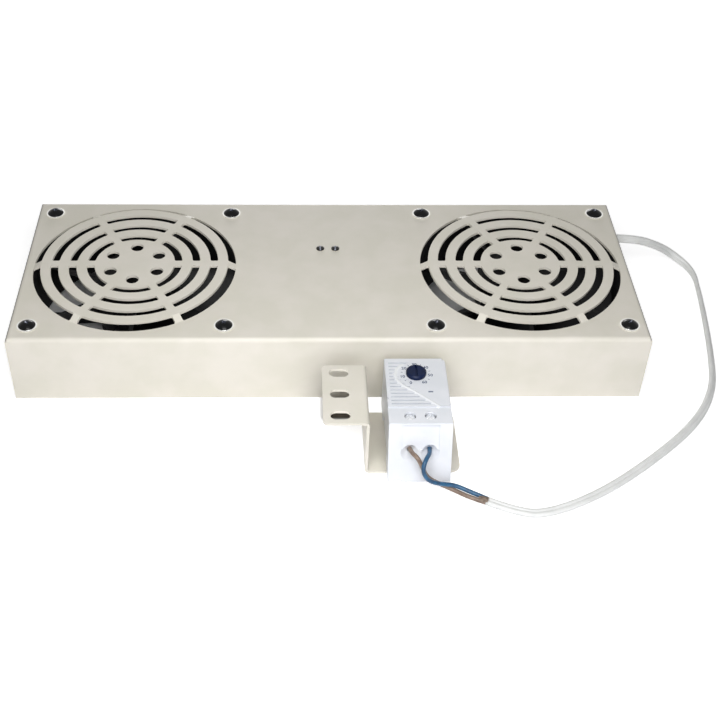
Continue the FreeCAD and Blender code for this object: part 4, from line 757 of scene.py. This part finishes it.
bars = [
    (top, turn + quarter, recesses["reach"], recesses["width"], recesses["depth"], recesses["taper"])
    for top, turn in zip(screwTops("fan_screws"), recesses["turns"])
    for quarter in (0, 90)
]
cutHeads("fanScrewTools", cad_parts["fan_screws"], bars, "wornRecess")
stripScrews = turnedScrews("stripScrews", stripScrew, "blackedStripScrew")
cutHeads("stripScrewTools", stripScrews, screwBars(stripScrew, (0,)), "wornRecess")
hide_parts("block_screws")
wellScrews = turnedScrews("wellScrews", wellScrew, "clearZinc")
cutHeads("wellScrewTools", wellScrews, screwBars(wellScrew, (0, 90)), "clearZinc")
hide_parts("clamp_screws")
print("screws turned and recesses cut")

# the dial's printed scale: seven numbers, a short mark between each two, and a plain bar beside it
dial = {
    "middle": (44.4, -82.6), "level": 34.0,      # mm
    "numbers": ["0", "10", "20", "30", "40", "50", "60"],
    "first": 245.0, "last": -58.0,               # degrees, counter-clockwise from the right
    "radius": 7.5, "height": 1.95, "thick": 0.03, "bold": 0.05,
    "sizeOverHeight": 1.4, "weld": 0.0001,
    "markLength": 0.95, "markWidth": 0.3, "markRadius": 7.6,
    "index": (51.1, -96.0, 33.53), "indexSize": (2.4, 1.0, 0.1),
}


def printDial(look):
    shape = bmesh.new()
    step = (look["last"] - look["first"]) / (len(look["numbers"]) - 1)
    for index, text in enumerate(look["numbers"]):
        angle = math.radians(look["first"] + step * index)
        place = Vector((*look["middle"], look["level"])) * mm
        place += Vector((math.cos(angle), math.sin(angle), 0)) * look["radius"] * mm
        lettering = bpy.data.curves.new("lettering", "FONT")
        lettering.body, lettering.size = text, look["height"] * look["sizeOverHeight"] * mm
        lettering.extrude, lettering.offset = look["thick"] * mm, look["bold"] * mm
        lettering.align_x, lettering.align_y = "CENTER", "CENTER"
        lettering.resolution_u = 3
        letters = addObject("letters", lettering)
        letters.location = place
        bpy.context.view_layer.update()
        flat = bpy.data.meshes.new_from_object(letters.evaluated_get(bpy.context.evaluated_depsgraph_get()))
        flat.transform(letters.matrix_world)
        shape.from_mesh(flat)
        bpy.data.meshes.remove(flat)
        bpy.data.objects.remove(letters)
    for index in range(len(look["numbers"]) - 1):
        angle = math.radians(look["first"] + step * (index + 0.5))
        matrix = Matrix.Translation(Vector((*look["middle"], look["level"])) * mm)
        matrix = matrix @ Matrix.Rotation(angle, 4, "Z")
        matrix = matrix @ Matrix.Translation((look["markRadius"] * mm, 0, 0))
        size = (look["markLength"] * mm, look["markWidth"] * mm, 2 * look["thick"] * mm)
        matrix = matrix @ Matrix.Diagonal((*size, 1))
        bmesh.ops.create_cube(shape, size=1.0, matrix=matrix)
    matrix = Matrix.Translation(Vector(look["index"]) * mm)
    matrix = matrix @ Matrix.Diagonal((*[side * mm for side in look["indexSize"]], 1))
    bmesh.ops.create_cube(shape, size=1.0, matrix=matrix)
    bmesh.ops.remove_doubles(shape, verts=shape.verts, dist=look["weld"] * mm)
    return finishMesh("dialPrint", shape, "dialInk", smooth=False)


printDial(dial)

# a low raised border half round the dial, running on aslant towards the case's front right corner
border = {
    "radius": 1.4, "sink": 32.84,      # mm: the bead's radius, and the level of its middle
    "route": [
        (38.2, -75.0), (35.2, -77.2), (33.6, -81.5), (33.7, -86.5), (37.0, -91.4), (41.5, -94.6),
        (45.5, -98.3), (50.0, -102.6), (55.0, -107.2),
    ],
}
beadRoute = [(x * mm, y * mm, border["sink"] * mm) for x, y in border["route"]]
bead = routeCurve("dialBorder", beadRoute, border["radius"] * mm)
# the border wears the paler ABS, a painted highlight
bead.data.materials.append(materials["paleHighlightAbs"])
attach(bead, "tray")
print("dial printed")

# lights, world and floor

studio = {
    "floorSize": 4.0, "floorLevel": -0.0002,
    "floorColour": "#F4F4F4", "nearGlow": 0.62, "farGlow": 1.0,
    "glowFrom": 0.25, "glowTo": 0.6,
    "shadeX": 0.168, "shadeY": 0.061,              # the dark footprint under the tray
    # the pocket's darker floor colour is painted shade under the bracket's ear
    "pocketMiddle": (0.0045, -0.072), "pocketHalf": (0.011, 0.012), "pocketSoft": 0.004,
    "pocketShade": "#78716A",
    "card": (-4.6, 11.5, -82.0, 30.0),     # mm: left, right, place, top
    "cardColour": "#050505",
    "ambient": 0.15,
    "lamps": {
        "frontKey": {
            "place": (-0.01, -0.34, 0.39), "aim": (0.0, -0.03, 0.03), "size": (0.3, 0.2), "power": 1.5,
            "tint": (1.0, 1.0, 1.0),
        },
        "topFront": {
            "place": (-0.04, -0.2, 0.4), "aim": (0.0, -0.03, 0.03), "size": (0.3, 0.2), "power": 0.15,
            "tint": (1.0, 1.0, 1.0),
        },
        "lowFront": {
            "place": (0.04, -0.55, 0.22), "aim": (0.0, -0.05, 0.02), "size": (0.6, 0.25), "power": 0.82,
            "tint": (0.97, 0.98, 1.08),
        },
        "backStrip": {
            "place": (0.0, 1.25, 0.22), "aim": (0.0, 0.0, 0.04), "size": (0.4, 0.42), "power": 3.6,
            "tint": (1.0, 1.0, 1.0),
        },
    },
}


def addLamp(name, look):
    data = bpy.data.lights.new(name, "AREA")
    data.shape, data.energy = "RECTANGLE", look["power"]
    data.size, data.size_y = look["size"]
    data.color = look["tint"]
    lamp = addObject(name, data)
    place = Vector(look["place"])
    turned = (Vector(look["aim"]) - place).to_track_quat("-Z", "Y").to_matrix().to_4x4()
    lamp.matrix_world = Matrix.Translation(place) @ turned
    lamp.visible_camera = False


for name, look in studio["lamps"].items():
    addLamp(name, look)


def seenRays(tree):
    # one for the rays of the camera and of mirror-like or clear surfaces, and nought for the rest
    rays = addNode(tree, "LightPath", {})
    seen = addNode(
        tree, "Math", {"operation": "ADD", "use_clamp": True},
        {0: rays.outputs["Is Camera Ray"], 1: rays.outputs["Is Glossy Ray"]},
    )
    return addNode(
        tree, "Math", {"operation": "ADD", "use_clamp": True},
        {0: seen.outputs[0], 1: rays.outputs["Is Transmission Ray"]},
    ).outputs[0]


world = bpy.data.worlds.new("studioWorld")
scene.world = world
world.use_nodes = True
world.node_tree.nodes.clear()
strength = addNode(
    world.node_tree, "MapRange", {"To Min": studio["ambient"], "To Max": 1.0},
    {"Value": seenRays(world.node_tree)},
)
sky = addNode(
    world.node_tree, "Background", {"Color": (1.0, 1.0, 1.0, 1.0)}, {"Strength": strength.outputs["Result"]}
)
addNode(world.node_tree, "OutputWorld", {}, {"Surface": sky.outputs[0]})


def paleFloor(look):
    material = bpy.data.materials.new("paleFloor")
    material.use_nodes = True
    tree = material.node_tree
    tree.nodes.clear()
    where = addNode(tree, "TexCoord", {}).outputs["Object"]
    away = addNode(tree, "VectorMath", {"operation": "ABSOLUTE"}, {0: where})
    parts = addNode(tree, "SeparateXYZ", {}, {"Vector": away.outputs[0]})
    outX = addNode(tree, "Math", {"operation": "GREATER_THAN", 1: look["shadeX"]}, {0: parts.outputs["X"]})
    outY = addNode(tree, "Math", {"operation": "GREATER_THAN", 1: look["shadeY"]}, {0: parts.outputs["Y"]})
    outside = addNode(tree, "Math", {"operation": "MAXIMUM"}, {0: outX.outputs[0], 1: outY.outputs[0]})
    # the pocket under the bracket's ear gets no glow either, and a darker floor colour is painted there as
    # shade
    moved = addNode(
        tree, "VectorMath", {"operation": "SUBTRACT", 1: (*look["pocketMiddle"], 0.0)}, {0: where}
    )
    apart = addNode(tree, "VectorMath", {"operation": "ABSOLUTE"}, {0: moved.outputs[0]})
    sides = addNode(tree, "SeparateXYZ", {}, {"Vector": apart.outputs[0]})
    edges = [
        addNode(
            tree, "MapRange",
            {"From Min": half - look["pocketSoft"], "From Max": half, "To Min": 1.0, "To Max": 0.0},
            {"Value": sides.outputs[axis]},
        ).outputs["Result"]
        for axis, half in zip("XY", look["pocketHalf"])
    ]
    pocket = addNode(tree, "Math", {"operation": "MULTIPLY"}, {0: edges[0], 1: edges[1]})
    clearOf = addNode(tree, "Math", {"operation": "SUBTRACT", 0: 1.0}, {1: pocket.outputs[0]})
    lit = addNode(tree, "Math", {"operation": "MULTIPLY"}, {0: outside.outputs[0], 1: clearOf.outputs[0]})
    seen = addNode(tree, "Math", {"operation": "MULTIPLY"}, {0: lit.outputs[0], 1: seenRays(tree)})
    reach = addNode(tree, "VectorMath", {"operation": "LENGTH"}, {0: where})
    glowing = addNode(
        tree, "MapRange",
        {"From Min": look["glowFrom"], "From Max": look["glowTo"], "To Min": look["nearGlow"],
         "To Max": look["farGlow"]},
        {"Value": reach.outputs["Value"]},
    )
    strength = addNode(
        tree, "Math", {"operation": "MULTIPLY"}, {0: seen.outputs[0], 1: glowing.outputs["Result"]}
    )
    glow = addNode(tree, "Emission", {"Color": (1.0, 1.0, 1.0, 1.0)}, {"Strength": strength.outputs[0]})
    stops = [(0.0, linear(look["floorColour"])), (1.0, linear(look["pocketShade"]))]
    tint = addNode(tree, "ValToRGB", {"stops": stops}, {"Fac": pocket.outputs[0]})
    matt = addNode(tree, "BsdfDiffuse", {}, {"Color": tint.outputs["Color"]})
    both = addNode(tree, "AddShader", {}, {0: glow.outputs[0], 1: matt.outputs[0]})
    clear = addNode(tree, "BsdfTransparent", {})
    facing = addNode(tree, "NewGeometry", {}).outputs["Backfacing"]
    oneSided = addNode(tree, "MixShader", {}, {0: facing, 1: both.outputs[0], 2: clear.outputs[0]})
    addNode(tree, "OutputMaterial", {}, {"Surface": oneSided.outputs[0]})
    return material


def layFloor(look):
    half = look["floorSize"] / 2
    data = bpy.data.meshes.new("paleFloor")
    signs = ((-1, -1), (1, -1), (1, 1), (-1, 1))
    corners = [(x * half, y * half, look["floorLevel"]) for x, y in signs]
    data.from_pydata(corners, [], [(0, 1, 2, 3)])
    data.materials.append(paleFloor(look))
    addObject("paleFloor", data)


layFloor(studio)


def hangShadeCard(look):
    # a black card, not seen itself, that keeps the low light out from under the bracket's ear
    data = bpy.data.meshes.new("shadeCard")
    left, right, place, top = [value * mm for value in look["card"]]
    corners = [(left, place, 0.0), (right, place, 0.0), (right, place, top), (left, place, top)]
    data.from_pydata(corners, [], [(0, 1, 2, 3)])
    settings = {"Base Color": linear(look["cardColour"]), "Roughness": 1.0}
    data.materials.append(newMaterial("blackCard", settings)[0])
    card = addObject("shadeCard", data)
    card.visible_camera = card.visible_glossy = card.visible_transmission = False


hangShadeCard(studio)
print("lights and floor set")
